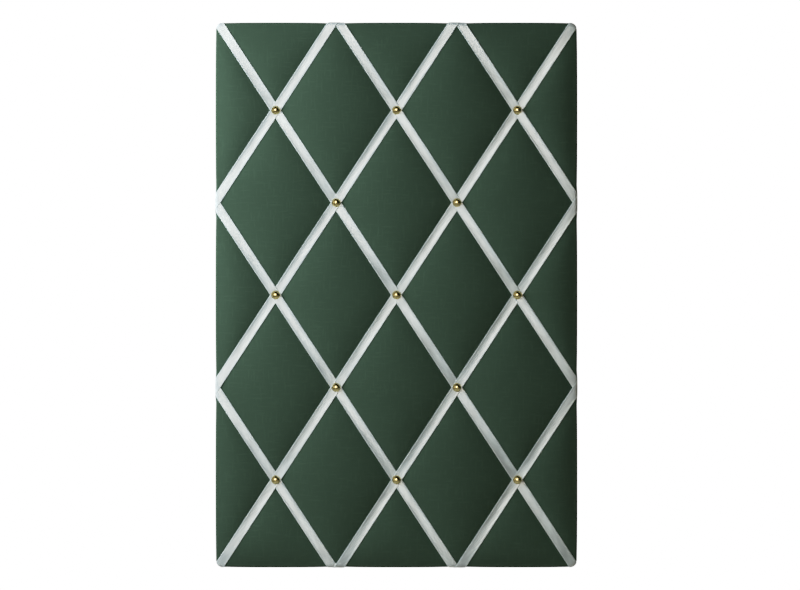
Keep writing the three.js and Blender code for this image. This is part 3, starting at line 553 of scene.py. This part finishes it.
def skin_of(shape, columns, rows, corner_steps, reaches, offset):
    """Points, faces and unrolled places of the board's skin: the flat front, then rings round its edge."""
    xs = np.linspace(-shape.inner_x, shape.inner_x, columns + 1)
    zs = np.linspace(-shape.inner_z, shape.inner_z, rows + 1)
    unrolled = [(x, z) for z in zs for x in xs]
    faces = net_faces(columns, rows)
    aims = [(0, -1), (1, 0), (0, 1), (-1, 0)]
    ring = []
    for side, aim, next_aim in zip(net_sides(columns, rows), aims, [*aims[1:], aims[0]]):
        ring += [(corner, aim) for corner in side]
        for turn in np.linspace(0, QUARTER_TURN, corner_steps + 1)[1:-1]:
            ring.append((side[-1], [math.cos(turn) * a + math.sin(turn) * b for a, b in zip(aim, next_aim)]))
    near = [corner for corner, _ in ring]
    for reach in reaches:
        far = list(range(len(unrolled), len(unrolled) + len(ring)))
        unrolled += [tuple(unrolled[corner][k] + aim[k] * reach for k in (0, 1)) for corner, aim in ring]
        faces += band(near, far)
        near = far
    unrolled = np.array(unrolled)
    points = shape.place(unrolled[:, 0], unrolled[:, 1], offset)
    return points, faces, unrolled, len(ring)


def swell_in_cloth(shape, places):
    """How far the front's cotton moves at these places when the wadding presses on it from below.

    A cloth simulation on a coarser net of the front, held under the ribbons and along the edge."""
    columns, rows, frames = 88, 134, 20
    most, held_edge, blend = 1.2 * MM, 3 * MM, 5 * MM
    points, faces, unrolled, _ = skin_of(shape, columns, rows, corner_steps=1, reaches=[], offset=0.0)
    net = new_piece("cotton_net", points, faces, bpy.data.materials["dyed_cotton_weave"])
    x, z = unrolled.T
    away = [np.abs(line - np.rint(line)) for line in shape.lattice(x, z)]
    from_ribbon = np.min(away, axis=0) * shape.spacing
    from_edge = np.minimum(shape.inner_x - np.abs(x), shape.inner_z - np.abs(z))
    held = (from_ribbon < 0.5 * shape.sizes.ribbon_width) | (from_edge < held_edge)
    pins = net.vertex_groups.new(name="held")
    pins.add([int(index) for index in np.flatnonzero(held)], 1.0, "REPLACE")
    cloth = net.modifiers.new("Cloth", "CLOTH")
    given = {
        "vertex_group_mass": pins.name,
        "quality": 8,
        "mass": 0.15,
        "tension_stiffness": 40,
        "compression_stiffness": 40,
        "shear_stiffness": 20,
        "bending_stiffness": 2,
        "air_damping": 6,
        "use_pressure": True,
        "uniform_pressure_force": 90,
    }
    for name, value in given.items():
        setattr(cloth.settings, name, value)
    cloth.settings.effector_weights.gravity = 0
    cloth.collision_settings.use_collision = False
    cloth.point_cache.frame_start = 1
    cloth.point_cache.frame_end = frames
    scene = bpy.context.scene
    for number in range(1, frames + 1):
        scene.frame_set(number)
    graph = bpy.context.evaluated_depsgraph_get()
    swollen = net.evaluated_get(graph).to_mesh()
    moved = np.empty(len(points) * 3, np.float32)
    swollen.vertices.foreach_get("co", moved)
    scene.frame_set(1)
    relief = np.clip(moved.reshape(-1, 3)[:, 1] - points[:, 1], -most, most / 2)
    relief *= ease((from_ribbon - 0.45 * shape.sizes.ribbon_width) / blend)
    bpy.data.objects.remove(net)
    # Cubic weights carry the coarse net's movement over to the finer one.
    grid = relief.reshape(rows + 1, columns + 1)
    weights = []
    for place, half, count in ((places[:, 0], shape.inner_x, columns), (places[:, 1], shape.inner_z, rows)):
        at = (place + half) / (2 * half) * count
        first = np.clip(np.floor(at), 0, count - 1)
        f = at - first
        cubic = [(-f + 2 * f**2 - f**3) / 2, (2 - 5 * f**2 + 3 * f**3) / 2]
        cubic += [(f + 4 * f**2 - 3 * f**3) / 2, (f**3 - f**2) / 2]
        weights.append([(np.clip(first + k - 1, 0, count).astype(int), cubic[k]) for k in range(4)])
    return sum(wx * wz * grid[iz, ix] for iz, wz in weights[1] for ix, wx in weights[0])


def crossing_lift(shape, rising, number, along):
    """How far a ribbon is lifted where it lies on another one."""
    sizes = shape.sizes
    lift = np.zeros_like(along)
    flat_part, ramp = 0.62 * sizes.ribbon_width, 0.95 * sizes.ribbon_width
    for other in RIBBONS:
        s, t = (other, number) if rising else (number, other)
        crossing = (s + t, s - t)
        furthest = max(abs(crossing[0]), abs(crossing[1]))
        on_top = rising if furthest >= EDGE_STEP else (crossing in RISING_ON_TOP) == rising
        if furthest <= EDGE_STEP and on_top:
            away = np.abs(along - other) * shape.step
            lift = np.maximum(lift, ease(1 - (away - flat_part) / ramp))
    return lift * 1.15 * sizes.ribbon_thickness


def ribbon_section(sizes):
    """Closed outline of a ribbon's cross-section: (across, height), with selvedges a little thicker."""
    half, thick = sizes.ribbon_width / 2, sizes.ribbon_thickness
    across = half * np.array([-0.97, -0.9, -0.82, -0.55, -0.2, 0.2, 0.55, 0.82, 0.9, 0.97])
    over = thick * np.array([1.15, 1.4, 1.05, 1, 1, 1, 1, 1.05, 1.4, 1.15])
    under = [(w, 0.0) for w in across]
    return np.array([*under, (half, thick / 2), *zip(across[::-1], over), (-half, thick / 2)])


def staple_inset(shape, rising, number, end):
    """How far in from the board's edge the staple on that end of a ribbon sits."""
    first = 1 if rising else 2 * len(RIBBONS) + 1
    low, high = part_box(f"ribbon_staple_{first + 2 * (number + OUTER_RIBBON) + (0 if end > 0 else 1)}")
    middle = (low + high) / 2
    if number == 0:
        return shape.inner_corner + shape.sizes.corner_radius - math.hypot(middle.x, middle.z)
    return min(shape.sizes.board_width / 2 - abs(middle.x), shape.sizes.board_height / 2 - abs(middle.z))


def ribbon_mesh(shape, rising, number):
    """Points, faces, unrolled places and length of one ribbon, from its tail on the back to the other."""
    sizes = shape.sizes
    tail_landing, pressed_edge, step_down, spacing = 3.5 * MM, 0.16 * MM, 4 * MM, 2 * MM
    across, height = ribbon_section(sizes).T
    way = 1 if rising else -1
    normal = np.array([shape.pitch_z, -way * shape.pitch_x]) / shape.step
    limits = {}
    for end in (1, -1):
        inset = staple_inset(shape, rising, number, end) + tail_landing
        reach = shape.reach_to_back + inset - sizes.back_fold
        if number == 0:
            limits[end] = np.full_like(across, end * (shape.inner_corner + reach) / shape.step)
            continue
        by_x = end * (shape.inner_x + reach - end * normal[0] * across) / shape.pitch_x - number
        by_z = end * (shape.inner_z + reach - end * way * normal[1] * across) / shape.pitch_z + number
        limits[end] = end * np.minimum(end * by_x, end * by_z)
    length = (limits[1] - limits[-1]).mean() * shape.step
    stations = np.linspace(0, 1, int(length / spacing) + 1)[:, None]
    along = limits[-1] + stations * (limits[1] - limits[-1])
    s, t = (along, number) if rising else (number, along)
    x = shape.pitch_x * (s + t) + normal[0] * across
    z = shape.pitch_z * (s - t) + normal[1] * across
    # The taut ribbon lies flatter than the groove, with its edges pressed in.
    offset = sizes.clearance + crossing_lift(shape, rising, number, along)
    offset = offset - pressed_edge * (2 * across / sizes.ribbon_width) ** 2
    if number == 0:
        past = np.abs(along) * shape.step - shape.inner_corner
        reach = np.clip(past, 0, None)
        hem = 21 * MM  # along the mitre
    else:
        reach = np.maximum(*shape.beyond(x, z))
        hem = sizes.hem_width
    # Past the hem, the tail lies on the core.
    on_core = ease((reach - shape.reach_to_back - hem) / step_down)
    offset = offset - (sizes.cover_thickness + sizes.clearance) * on_core
    points = shape.place(x, z, offset + height)
    if number == 0:
        local = shape.place_on_corner(reach, across * np.sign(along), offset + height)
        turned = np.stack([np.sign(x), np.ones_like(x), np.sign(z)], axis=-1)
        points = np.where(past[..., None] > 0, local * turned, points)
    places = np.stack(np.broadcast_arrays(across, (along - limits[-1]) * shape.step), axis=-1)
    vertices, faces = swept(list(points))
    return vertices, faces, places.reshape(-1, 2), length


def nail_tree():
    """Geometry nodes that put a nail on every point: a domed head turned about the nail's axis, and a square
    shank that ends in a point. The points lie at the tops of the domes, and the nails run along +Y."""
    tree = bpy.data.node_groups.new("dome_nails", "GeometryNodeTree")
    kinds = {"Geometry": "NodeSocketGeometry", "Metal": "NodeSocketMaterial"}
    for name in ("Geometry", "Head Diameter", "Head Height", "Shank Width", "Length", "Point Length", "Metal"):
        tree.interface.new_socket(name, in_out="INPUT", socket_type=kinds.get(name, "NodeSocketFloat"))
    tree.interface.new_socket("Geometry", in_out="OUTPUT", socket_type="NodeSocketGeometry")
    known = {socket.name: socket for socket in add_node(tree, "NodeGroupInput").outputs}
    position = add_node(tree, "GeometryNodeInputPosition")
    known["below top"] = add_node(tree, "ShaderNodeSeparateXYZ", {0: position}).outputs["Y"]
    known["share"] = add_node(tree, "GeometryNodeSplineParameter").outputs["Factor"]
    known["number"] = add_node(tree, "GeometryNodeInputIndex")
    sums = (
        # Dome: the ball's radius follows from the head's width and height, and a ring's from its depth.
        ("head radius", "MULTIPLY", "Head Diameter", 0.5),
        ("radius squared", "POWER", "head radius", 2),
        ("height squared", "POWER", "Head Height", 2),
        ("both squares", "ADD", "radius squared", "height squared"),
        ("twice the height", "MULTIPLY", "Head Height", 2),
        ("ball radius", "DIVIDE", "both squares", "twice the height"),
        ("share squared", "POWER", "share", 2),
        ("ring depth", "MULTIPLY", "Head Height", "share squared"),
        ("ball width", "MULTIPLY", "ball radius", 2),
        ("above foot", "SUBTRACT", "ball width", "below top"),
        ("chord squared", "MULTIPLY", "below top", "above foot"),
        ("real square", "MAXIMUM", "chord squared", 0),
        ("chord", "POWER", "real square", 0.5),
        ("ring radius", "MAXIMUM", "chord", 0.02 * MM),
        # Shank: its three points lie inside the head, at the shoulder and at the tip.
        ("start", "MULTIPLY", "Head Height", 0.5),
        ("shoulder", "SUBTRACT", "Length", "Point Length"),
        ("is first", "COMPARE", "number", 0),
        ("is second", "COMPARE", "number", 1),
        ("is third", "COMPARE", "number", 2),
        ("first depth", "MULTIPLY", "start", "is first"),
        ("second depth", "MULTIPLY", "shoulder", "is second"),
        ("third depth", "MULTIPLY", "Length", "is third"),
        ("either depth", "ADD", "first depth", "second depth"),
        ("shank depth", "ADD", "either depth", "third depth"),
        ("corner", "MULTIPLY", "Shank Width", math.sqrt(0.5)),
        ("not third", "SUBTRACT", 1, "is third"),
        ("taper", "MULTIPLY", "corner", "not third"),
        ("shank radius", "MAXIMUM", "taper", 0.05 * MM),
    )
    for name, operation, *terms in sums:
        inputs = {k: known.get(term, term) for k, term in enumerate(terms)}
        known[name] = add_node(tree, "ShaderNodeMath", inputs, operation=operation)
    nail = add_node(tree, "GeometryNodeJoinGeometry")
    sweeps = ((18, "ring depth", 48, "ring radius"), (3, "shank depth", 4, "shank radius"))
    for count, depth, sides, radius in sweeps:
        line = add_node(tree, "GeometryNodeCurvePrimitiveLine", {"End": (0, 1, 0)})
        fine = add_node(tree, "GeometryNodeResampleCurve", {"Curve": line, "Count": count})
        down = add_node(tree, "ShaderNodeCombineXYZ", {"Y": known[depth]})
        axis = add_node(tree, "GeometryNodeSetPosition", {"Geometry": fine, "Position": down})
        ring = add_node(tree, "GeometryNodeCurvePrimitiveCircle", {"Resolution": sides, "Radius": 1})
        sweep = {"Curve": axis, "Profile Curve": ring, "Scale": known[radius], "Fill Caps": True}
        plug(nail, {0: add_node(tree, "GeometryNodeCurveToMesh", sweep)})
    smooth = add_node(tree, "GeometryNodeSetShadeSmooth", {"Geometry": nail})
    driven = add_node(tree, "GeometryNodeInstanceOnPoints", {"Points": known["Geometry"], "Instance": smooth})
    real = add_node(tree, "GeometryNodeRealizeInstances", {"Geometry": driven})
    metal = add_node(tree, "GeometryNodeSetMaterial", {"Geometry": real, "Material": known["Metal"]})
    add_node(tree, "NodeGroupOutput", {0: metal})
    return tree


# Operators


class MEMO_OT_cover(bpy.types.Operator):
    """Makes the tufted cotton cover: its diamonds swell between the ribbons in a cloth simulation"""

    bl_idname = "memo_board.cover"
    bl_label = "Cotton cover"

    def execute(self, context):
        sizes = context.scene.memo_board_sizes
        shape = BoardShape(sizes)
        material = cotton_material(context.scene.memo_board_colours.cotton)
        columns, rows, corner_steps, hem_steps = 144, 218, 8, 3
        reaches = edge_reaches(shape, arc_steps=6)
        points, faces, unrolled, around = skin_of(shape, columns, rows, corner_steps, reaches, offset=0.0)
        front = (columns + 1) * (rows + 1)
        points[:front, 1] += swell_in_cloth(shape, unrolled[:front])
        # The hem runs in to a mitred opening on the back.
        open_x = sizes.board_width / 2 - sizes.hem_width
        open_z = sizes.board_height / 2 - sizes.hem_width
        rim = points[-around:]
        inner = np.clip(rim, (-open_x, -np.inf, -open_z), (open_x, np.inf, open_z))
        corner = (shape.inner_x, shape.inner_z)
        aims = unrolled[-around:] - np.clip(unrolled[-around:], np.negative(corner), corner)
        aims /= np.linalg.norm(aims, axis=1)[:, None]
        for step in range(1, hem_steps + 1):
            near = list(range(len(points) - around, len(points)))
            points = np.concatenate([points, rim + step / hem_steps * (inner - rim)])
            unrolled = np.concatenate([unrolled, unrolled[near] + aims * sizes.hem_width / hem_steps])
            faces += band(near, [number + around for number in near])
        piece = new_piece("fabric_cover_cloth", points, faces, material, unrolled)
        thick = piece.modifiers.new("Thickness", "SOLIDIFY")
        thick.thickness = sizes.cover_thickness
        thick.offset = -1
        settle(piece)
        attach(piece, "board")
        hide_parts("fabric_cover")
        return {"FINISHED"}


class MEMO_OT_wadding(bpy.types.Operator):
    """Makes the wadding that swells the cover from below"""

    bl_idname = "memo_board.wadding"
    bl_label = "Wadding"

    def execute(self, context):
        sizes = context.scene.memo_board_sizes
        shape = BoardShape(sizes)
        colour = context.scene.memo_board_colours.wadding
        material = fibre_material("polyester_wadding", colour, 0.5 * MM, 9 * MM, relief=0.5 * MM, spread=0.1)
        under = -(sizes.cover_thickness + sizes.clearance)
        rounded = [reach for reach in edge_reaches(shape, arc_steps=4) if reach <= shape.reach_to_side]
        reaches = [*rounded, shape.reach_to_side + wadding_back - shape.equator]
        columns, rows, corner_steps = 64, 98, 5
        points, faces, _, around = skin_of(shape, columns, rows, corner_steps, reaches, under)
        faces.append(tuple(range(len(points) - around, len(points)))[::-1])
        piece = new_piece("wadding_block", points, faces, material)
        face_outward(piece)
        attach(piece, "board")
        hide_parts("wadding_pad")
        return {"FINISHED"}


class MEMO_OT_ribbons(bpy.types.Operator):
    """Lays the ten satin ribbons over the cover and round its edges"""

    bl_idname = "memo_board.ribbons"
    bl_label = "Satin ribbons"

    def execute(self, context):
        sizes = context.scene.memo_board_sizes
        shape = BoardShape(sizes)
        material = ribbon_material(context.scene.memo_board_colours.ribbon, sizes.ribbon_width)
        for family in ("rising", "falling"):
            for number in RIBBONS:
                node = f"ribbon_{family}_{number + EDGE_STEP}"
                points, faces, places, length = ribbon_mesh(shape, family == "rising", number)
                piece = new_piece(f"{node}_satin", points, faces, material, places)
                face_outward(piece)
                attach(piece, "board")
                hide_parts(node)
        return {"FINISHED"}


class MEMO_OT_nails(bpy.types.Operator):
    """Drives a dome-headed brass nail through every crossing"""

    bl_idname = "memo_board.nails"
    bl_label = "Dome nails"

    def execute(self, context):
        sizes = context.scene.memo_board_sizes
        brass = context.scene.memo_board_colours.brass
        material = metal_material("polished_brass", brass, roughness=0.22, wear=0.12)
        places = [(low + high) / 2 for low, high in nail_boxes]
        top, tip = (corner.y for corner in nail_boxes[0])
        piece = new_piece("dome_nails", [(place.x, top, place.z) for place in places], [], material)
        tree = nail_tree()
        modifier = piece.modifiers.new("Nails", "NODES")
        modifier.node_group = tree
        given = {
            "Head Diameter": sizes.head_diameter,
            "Head Height": sizes.head_height,
            "Shank Width": sizes.shank_width,
            "Length": tip - top,
            "Point Length": 3 * MM,
            "Metal": material,
        }
        for socket in tree.interface.items_tree:
            if socket.item_type == "SOCKET" and socket.name in given:
                modifier[socket.identifier] = given[socket.name]
        settle(piece)
        face_outward(piece)
        sharpen(piece, 40)
        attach(piece, "board")
        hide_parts(*[f"nail_{number}" for number in range(1, NAIL_COUNT + 1)])
        return {"FINISHED"}


class MEMO_OT_felt(bpy.types.Operator):
    """Closes the back with a sheet of felt"""

    bl_idname = "memo_board.felt"
    bl_label = "Felt back"

    def execute(self, context):
        colour = context.scene.memo_board_colours.felt
        felt = fibre_material("needled_grey_felt", colour, 0.7 * MM, 7 * MM, relief=0.35 * MM, spread=0.22)
        columns, rows = 78, 118
        half_x, half_z = felt_high.x, felt_high.z
        xs = np.linspace(-half_x, half_x, columns + 1)
        zs = np.linspace(-half_z, half_z, rows + 1)
        x, z = (grid.ravel() for grid in np.meshgrid(xs, zs))
        # The sheet is cut by hand, so its edges waver a little, and it is thinner where they are glued down.
        edge, cut, wavering, pressed, uneven = 6 * MM, 0.5 * MM, 0.25 * MM, 0.45 * MM, 0.06 * MM
        inside = np.minimum(half_x - np.abs(x), half_z - np.abs(z))
        near_edge = np.clip(1 - inside / edge, 0, 1)
        waver = wavering * (np.sin(z * 41 + x * 13) + np.sin(x * 57 - z * 9 + 1.7))
        shrink = 1 - (cut + waver) * near_edge / half_x
        face = felt_high.y - pressed * near_edge**2
        face = face - uneven * (1 + np.sin(x * 60 + 2 * np.sin(z * 23)) * np.sin(z * 47))
        depths = (face, np.full_like(face, felt_low.y))
        sides = [np.stack([x * shrink, y, z * shrink], axis=-1) for y in depths]
        count = len(x)
        faces = []
        for corners in net_faces(columns, rows):
            quad = corners[:1] + corners[:0:-1]
            faces += [quad, tuple(count + corner for corner in quad[::-1])]
        rim = [corner for side in net_sides(columns, rows) for corner in side[:-1]]
        faces += band(rim, [count + corner for corner in rim])
        piece = new_piece("felt_back_sheet", np.concatenate(sides), faces, felt)
        face_outward(piece)
        sharpen(piece, 50)
        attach(piece, "board")
        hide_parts("felt_back")
        return {"FINISHED"}


class MEMO_OT_hangers(bpy.types.Operator):
    """Makes the two ring hangers: strap, screw and D-shaped ring"""

    bl_idname = "memo_board.hangers"
    bl_label = "Ring hangers"

    def execute(self, context):
        sizes = context.scene.memo_board_sizes
        colour = context.scene.memo_board_colours.nickel
        nickel = metal_material("nickel_plated_steel", colour, roughness=0.26, wear=0.1)
        for side in ("left", "right"):
            axis = ring_axes[f"d_ring_{side}"]
            strap = self.strap(sizes, f"hanger_strap_{side}_plate", axis, nickel)
            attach(strap, "board")
            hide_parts(f"hanger_strap_{side}")
            screw = self.screw(f"hanger_screw_{side}", nickel)
            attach(screw, "board")
            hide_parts(f"hanger_screw_{side}")
            ring = self.ring(sizes, f"d_ring_{side}", axis, nickel)
            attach(ring, f"d_ring_{side}")
            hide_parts(f"d_ring_{side}")
        return {"FINISHED"}

    def strap(self, sizes, name, axis, material):
        """A strip with a round end, bent round the ring's bar."""
        corner, half = 3 * MM, sizes.strap_width / 2
        middle = sizes.wire_diameter / 2 + sizes.clearance + sizes.strap_thickness / 2
        # The strip's middle line in (y, z) round the axis, from its round end to the end of the curl
        line = [(-middle, z) for z in np.linspace(-sizes.strap_length, 0, 31)]
        for turn in np.radians(np.linspace(-90, 200, 49))[1:]:
            line.append((middle * math.sin(turn), middle * math.cos(turn)))
        across = np.linspace(-1, 1, 9)
        points = []
        for y, z in line:
            from_end = z + sizes.strap_length if y == -middle else corner
            cut = corner - math.sqrt(max(corner**2 - max(corner - from_end, 0) ** 2, 0))
            points += [(axis.x + w * (half - cut), axis.y + y, axis.z + z) for w in across]
        piece = new_piece(name, points, net_faces(len(across) - 1, len(line) - 1), material)
        plate = piece.modifiers.new("Plate", "SOLIDIFY")
        plate.thickness = sizes.strap_thickness
        plate.offset = 0
        soft = piece.modifiers.new("Edge", "BEVEL")
        soft.width = 0.14 * MM
        soft.segments = 2
        soft.limit_method = "ANGLE"
        soft.angle_limit = math.radians(50)
        settle(piece)
        face_outward(piece)
        sharpen(piece, 60)
        return piece

    def screw(self, node, material):
        """A pan-head screw with a cross recess."""
        low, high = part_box(node)
        middle = (low + high) / 2
        shank_radius, point, head_height, rim_height = 1.5 * MM, 2.5 * MM, 1.8 * MM, 0.5 * MM
        slot_length, slot_width, slot_depth = 3.2 * MM, 0.85 * MM, 1.1 * MM
        head_radius = (high.x - low.x) / 2
        under = high.y - head_height
        rim = under + rim_height
        profile = [(0, low.y), (shank_radius, low.y + point), (shank_radius, under), (head_radius, under)]
        profile.append((head_radius, rim))
        for turn in np.linspace(0, QUARTER_TURN, 9)[1:]:
            profile.append((head_radius * math.cos(turn), rim + (high.y - rim) * math.sin(turn)))
        points, faces = lathe(profile, 40, middle)
        piece = new_piece(f"{node}_pan_head", points, faces, material)
        face_outward(piece)
        shape = bmesh.new()
        place = Matrix.Translation((middle.x, high.y, middle.z))
        for wide, tall in ((slot_length, slot_width), (slot_width, slot_length)):
            scale = Matrix.Diagonal((wide, 2 * slot_depth, tall, 1))
            bmesh.ops.create_cube(shape, size=1, matrix=place @ scale)
        cutter_mesh = bpy.data.meshes.new("recess")
        shape.to_mesh(cutter_mesh)
        shape.free()
        cutter = bpy.data.objects.new("recess", cutter_mesh)
        bpy.context.scene.collection.objects.link(cutter)
        cut = piece.modifiers.new("Recess", "BOOLEAN")
        cut.operation = "DIFFERENCE"
        cut.object = cutter
        cut.use_self = True
        settle(piece)
        bpy.data.objects.remove(cutter)
        sharpen(piece, 35)
        return piece

    def ring(self, sizes, name, axis, material):
        """A wire bent to a D, leaning on the back, with its joint in the strap's curl."""
        half = (sizes.ring_inner_width + sizes.wire_diameter) / 2
        corner, straight, split = 3 * MM, 4 * MM, 0.25 * MM
        turn = half - corner
        bend = np.linspace(0, QUARTER_TURN, 11)
        path = [(x, 0) for x in np.linspace(split, turn, 9)]
        path += [(turn + corner * math.sin(a), corner - corner * math.cos(a)) for a in bend[1:]]
        path += [(half * math.cos(a), straight + half * math.sin(a)) for a in np.linspace(0, math.pi, 49)]
        path += [(-turn - corner * math.cos(a), corner - corner * math.sin(a)) for a in bend]
        path += [(x, 0) for x in np.linspace(-turn, -split, 9)[1:]]
        lean = math.asin((axis.y - sizes.wire_diameter / 2 - sizes.clearance) / (straight + half))
        points = [(axis.x + x, axis.y - z * math.sin(lean), axis.z + z * math.cos(lean)) for x, z in path]
        vertices, faces = tube(points, sizes.wire_diameter / 2, 20)
        piece = new_piece(f"{name}_wire", vertices, faces, material)
        face_outward(piece)
        sharpen(piece, 50)
        return piece


class MEMO_OT_core(bpy.types.Operator):
    """Finishes the solids that stay: the fibreboard core and the ribbons' staples"""

    bl_idname = "memo_board.core"
    bl_label = "Core and staples"

    def execute(self, context):
        colours = context.scene.memo_board_colours
        board = fibre_material(
            "medium_density_fibreboard", colours.fibreboard, 0.25 * MM, 2.5 * MM, relief=0.05 * MM, spread=0.14
        )
        wire = metal_material("galvanised_staple_wire", colours.staples, roughness=0.38, wear=0.12)
        for name, node in frame["nodes"].items():
            if name == "core_board" or name.startswith("ribbon_staple"):
                node.data.materials.clear()
                node.data.materials.append(board if name == "core_board" else wire)
        return {"FINISHED"}


class MEMO_OT_stage(bpy.types.Operator):
    """Sets the camera, the light and the floor"""

    bl_idname = "memo_board.stage"
    bl_label = "Stage"

    def execute(self, context):
        scene = context.scene
        stage = scene.memo_board_stage
        face = scene.memo_board_sizes.groove_level
        camera_data = bpy.data.cameras.new("camera")
        camera_data.sensor_width = 36
        camera_data.lens = camera_data.sensor_width * stage.camera_distance / stage.frame_width
        camera = bpy.data.objects.new("camera", camera_data)
        camera.location = (stage.camera_side, face - stage.camera_distance, 0)
        camera.rotation_euler = (QUARTER_TURN, 0, 0)
        scene.collection.objects.link(camera)
        scene.camera = camera
        window, aim = (-0.76, face - 0.295, 0.3), (-0.05, face, 0.05)
        self.light("window", window, aim, 0.7, stage.key_power, "#DDF0FF")
        # These two stand behind the front's plane, so they light only the right side, the top and the back.
        self.light("side_fill", (1.5, 0.6, 0.8), (0.2, 0, 0.1), 0.8, stage.side_power, "#FFFFFF")
        self.light("back_fill", (-0.9, 1.9, 1.0), (0, 0, 0), 1.4, stage.back_power, "#FFFFFF")
        self.sky(scene, stage.sky)
        self.floor(stage.floor_drop)
        self.tone(scene.view_settings)
        return {"FINISHED"}

    def tone(self, view):
        """A camera's soft shoulder, so that the pale ribbons nearest the window don't burn out."""
        view.view_transform = "Standard"
        view.use_curve_mapping = True
        curves = view.curve_mapping
        curves.clip_max_x = WHITE
        curves.update()
        combined = curves.curves[3].points
        combined[1].location = (WHITE, 1.0)
        for place in ((0.1, 0.1), (0.3, 0.3), (0.5, 0.48), (0.8, 0.66), (1.2, 0.8), (1.6, 0.91)):
            combined.new(*place)
        curves.update()

    def light(self, name, place, target, size, power, colour):
        """A round soft light. Gloss doesn't mirror the window's, since the sky has a pane for that."""
        data = bpy.data.lights.new(name, "AREA")
        data.shape = "DISK"
        data.size = size
        data.energy = power
        data.color = linear(colour)
        light = bpy.data.objects.new(name, data)
        light.location = place
        light.visible_camera = False
        light.visible_glossy = name != "window"
        light.rotation_euler = (Vector(target) - Vector(place)).to_track_quat("-Z", "Y").to_euler()
        bpy.context.scene.collection.objects.link(light)

    def sky(self, scene, strength):
        """White behind the board, an even warm light on it, and a room for gloss to mirror."""
        world = bpy.data.worlds.new("studio")
        world.use_nodes = True
        tree = world.node_tree
        tree.nodes.clear()
        white = add_node(tree, "ShaderNodeBackground", {"Color": (1, 1, 1, 1), "Strength": WHITE})
        even = add_node(tree, "ShaderNodeBackground", {"Color": (1, 0.88, 0.2, 1), "Strength": strength})
        way = add_node(tree, "ShaderNodeTexCoord").outputs["Generated"]
        # What gloss mirrors: a room that is light on the left and below and dark on the upper right, the
        # window's pane, and a pale wall behind the board for the hangers
        pane = Vector((-0.14, -0.97, 0.2)).normalized()
        room = (
            ((-0.62, -0.25, -0.45), (-0.2, 0.75), (0.01, 0.8)),
            (pane, (0.945, 0.995), (0, 13.5)),
            ((0, 1, 0), (0.15, 0.9), (0, 0.75)),
        )
        total = 0
        for aim, limits, strengths in room:
            towards = add_node(tree, "ShaderNodeVectorMath", {0: way, 1: aim}, operation="DOT_PRODUCT")
            grown = dict(zip(RANGE, (towards.outputs["Value"], *limits, *strengths)))
            bright = add_node(tree, "ShaderNodeMapRange", grown)
            total = add_node(tree, "ShaderNodeMath", {0: bright, 1: total}, operation="ADD")
        mirrored = add_node(tree, "ShaderNodeBackground", {"Color": (1, 0.96, 0.86, 1), "Strength": total})
        seen = add_node(tree, "ShaderNodeLightPath").outputs
        lit = add_node(tree, "ShaderNodeMixShader", {0: seen["Is Glossy Ray"], 1: even, 2: mirrored})
        shown = add_node(tree, "ShaderNodeMixShader", {0: seen["Is Camera Ray"], 1: lit, 2: white})
        add_node(tree, "ShaderNodeOutputWorld", {"Surface": shown})
        scene.world = world

    def floor(self, drop):
        """A pale matt floor, well below the hung board."""
        material, tree, shader = new_material("pale_matt_floor", {"Roughness": 0.9})
        place = add_node(tree, "ShaderNodeTexCoord").outputs["Object"]
        cloud = add_node(tree, "ShaderNodeTexNoise", {"Vector": place, "Scale": 1.5, "Detail": 2})
        tints = {0: cloud, 6: rgba(linear("#ECEAE6")), 7: rgba(linear("#F4F3F0"))}
        surface = add_node(tree, "ShaderNodeMix", tints, data_type="RGBA").outputs[2]
        # Seen directly, the floor is as pale as in a studio, without lighting the board from below.
        seen = add_node(tree, "ShaderNodeLightPath").outputs["Is Camera Ray"]
        glow = add_node(tree, "ShaderNodeMath", {0: seen, 1: 1.1}, operation="MULTIPLY")
        plug(shader, {"Base Color": surface, "Emission Color": surface, "Emission Strength": glow})
        half = 4.0
        corners = [(-half, -half, -drop), (half, -half, -drop), (half, half, -drop), (-half, half, -drop)]
        floor = new_piece("floor", corners, [(0, 1, 2, 3)], material)


class MEMO_PT_board(bpy.types.Panel):
    """Lists the board's sizes, colours and steps"""

    bl_idname = "MEMO_PT_board"
    bl_label = "French Memo Board"
    bl_space_type = "VIEW_3D"
    bl_region_type = "UI"
    bl_category = "Memo Board"

    def draw(self, context):
        layout = self.layout
        for group in GROUPS:
            settings = getattr(context.scene, group)
            column = layout.column(align=True)
            for name in settings.bl_rna.properties.keys():
                if name not in ("rna_type", "name"):
                    column.prop(settings, name)
        for operator in OPERATORS:
            layout.operator(operator.bl_idname)


GROUPS = {
    "memo_board_sizes": MemoBoardSizes,
    "memo_board_colours": MemoBoardColours,
    "memo_board_stage": MemoBoardStage,
}
OPERATORS = (
    MEMO_OT_stage,
    MEMO_OT_core,
    MEMO_OT_wadding,
    MEMO_OT_cover,
    MEMO_OT_ribbons,
    MEMO_OT_nails,
    MEMO_OT_felt,
    MEMO_OT_hangers,
)


def register():
    for name, group in GROUPS.items():
        bpy.utils.register_class(group)
        setattr(bpy.types.Scene, name, bpy.props.PointerProperty(type=group))
    for kind in (*OPERATORS, MEMO_PT_board):
        bpy.utils.register_class(kind)


def unregister():
    for kind in (MEMO_PT_board, *reversed(OPERATORS)):
        bpy.utils.unregister_class(kind)
    for name, group in GROUPS.items():
        delattr(bpy.types.Scene, name)
        bpy.utils.unregister_class(group)


def main():
    register()
    bpy.ops.memo_board.stage()
    bpy.ops.memo_board.core()
    bpy.ops.memo_board.wadding()
    bpy.ops.memo_board.cover()
    bpy.ops.memo_board.ribbons()
    bpy.ops.memo_board.nails()
    bpy.ops.memo_board.felt()
    bpy.ops.memo_board.hangers()


if __name__ == "__main__":
    main()
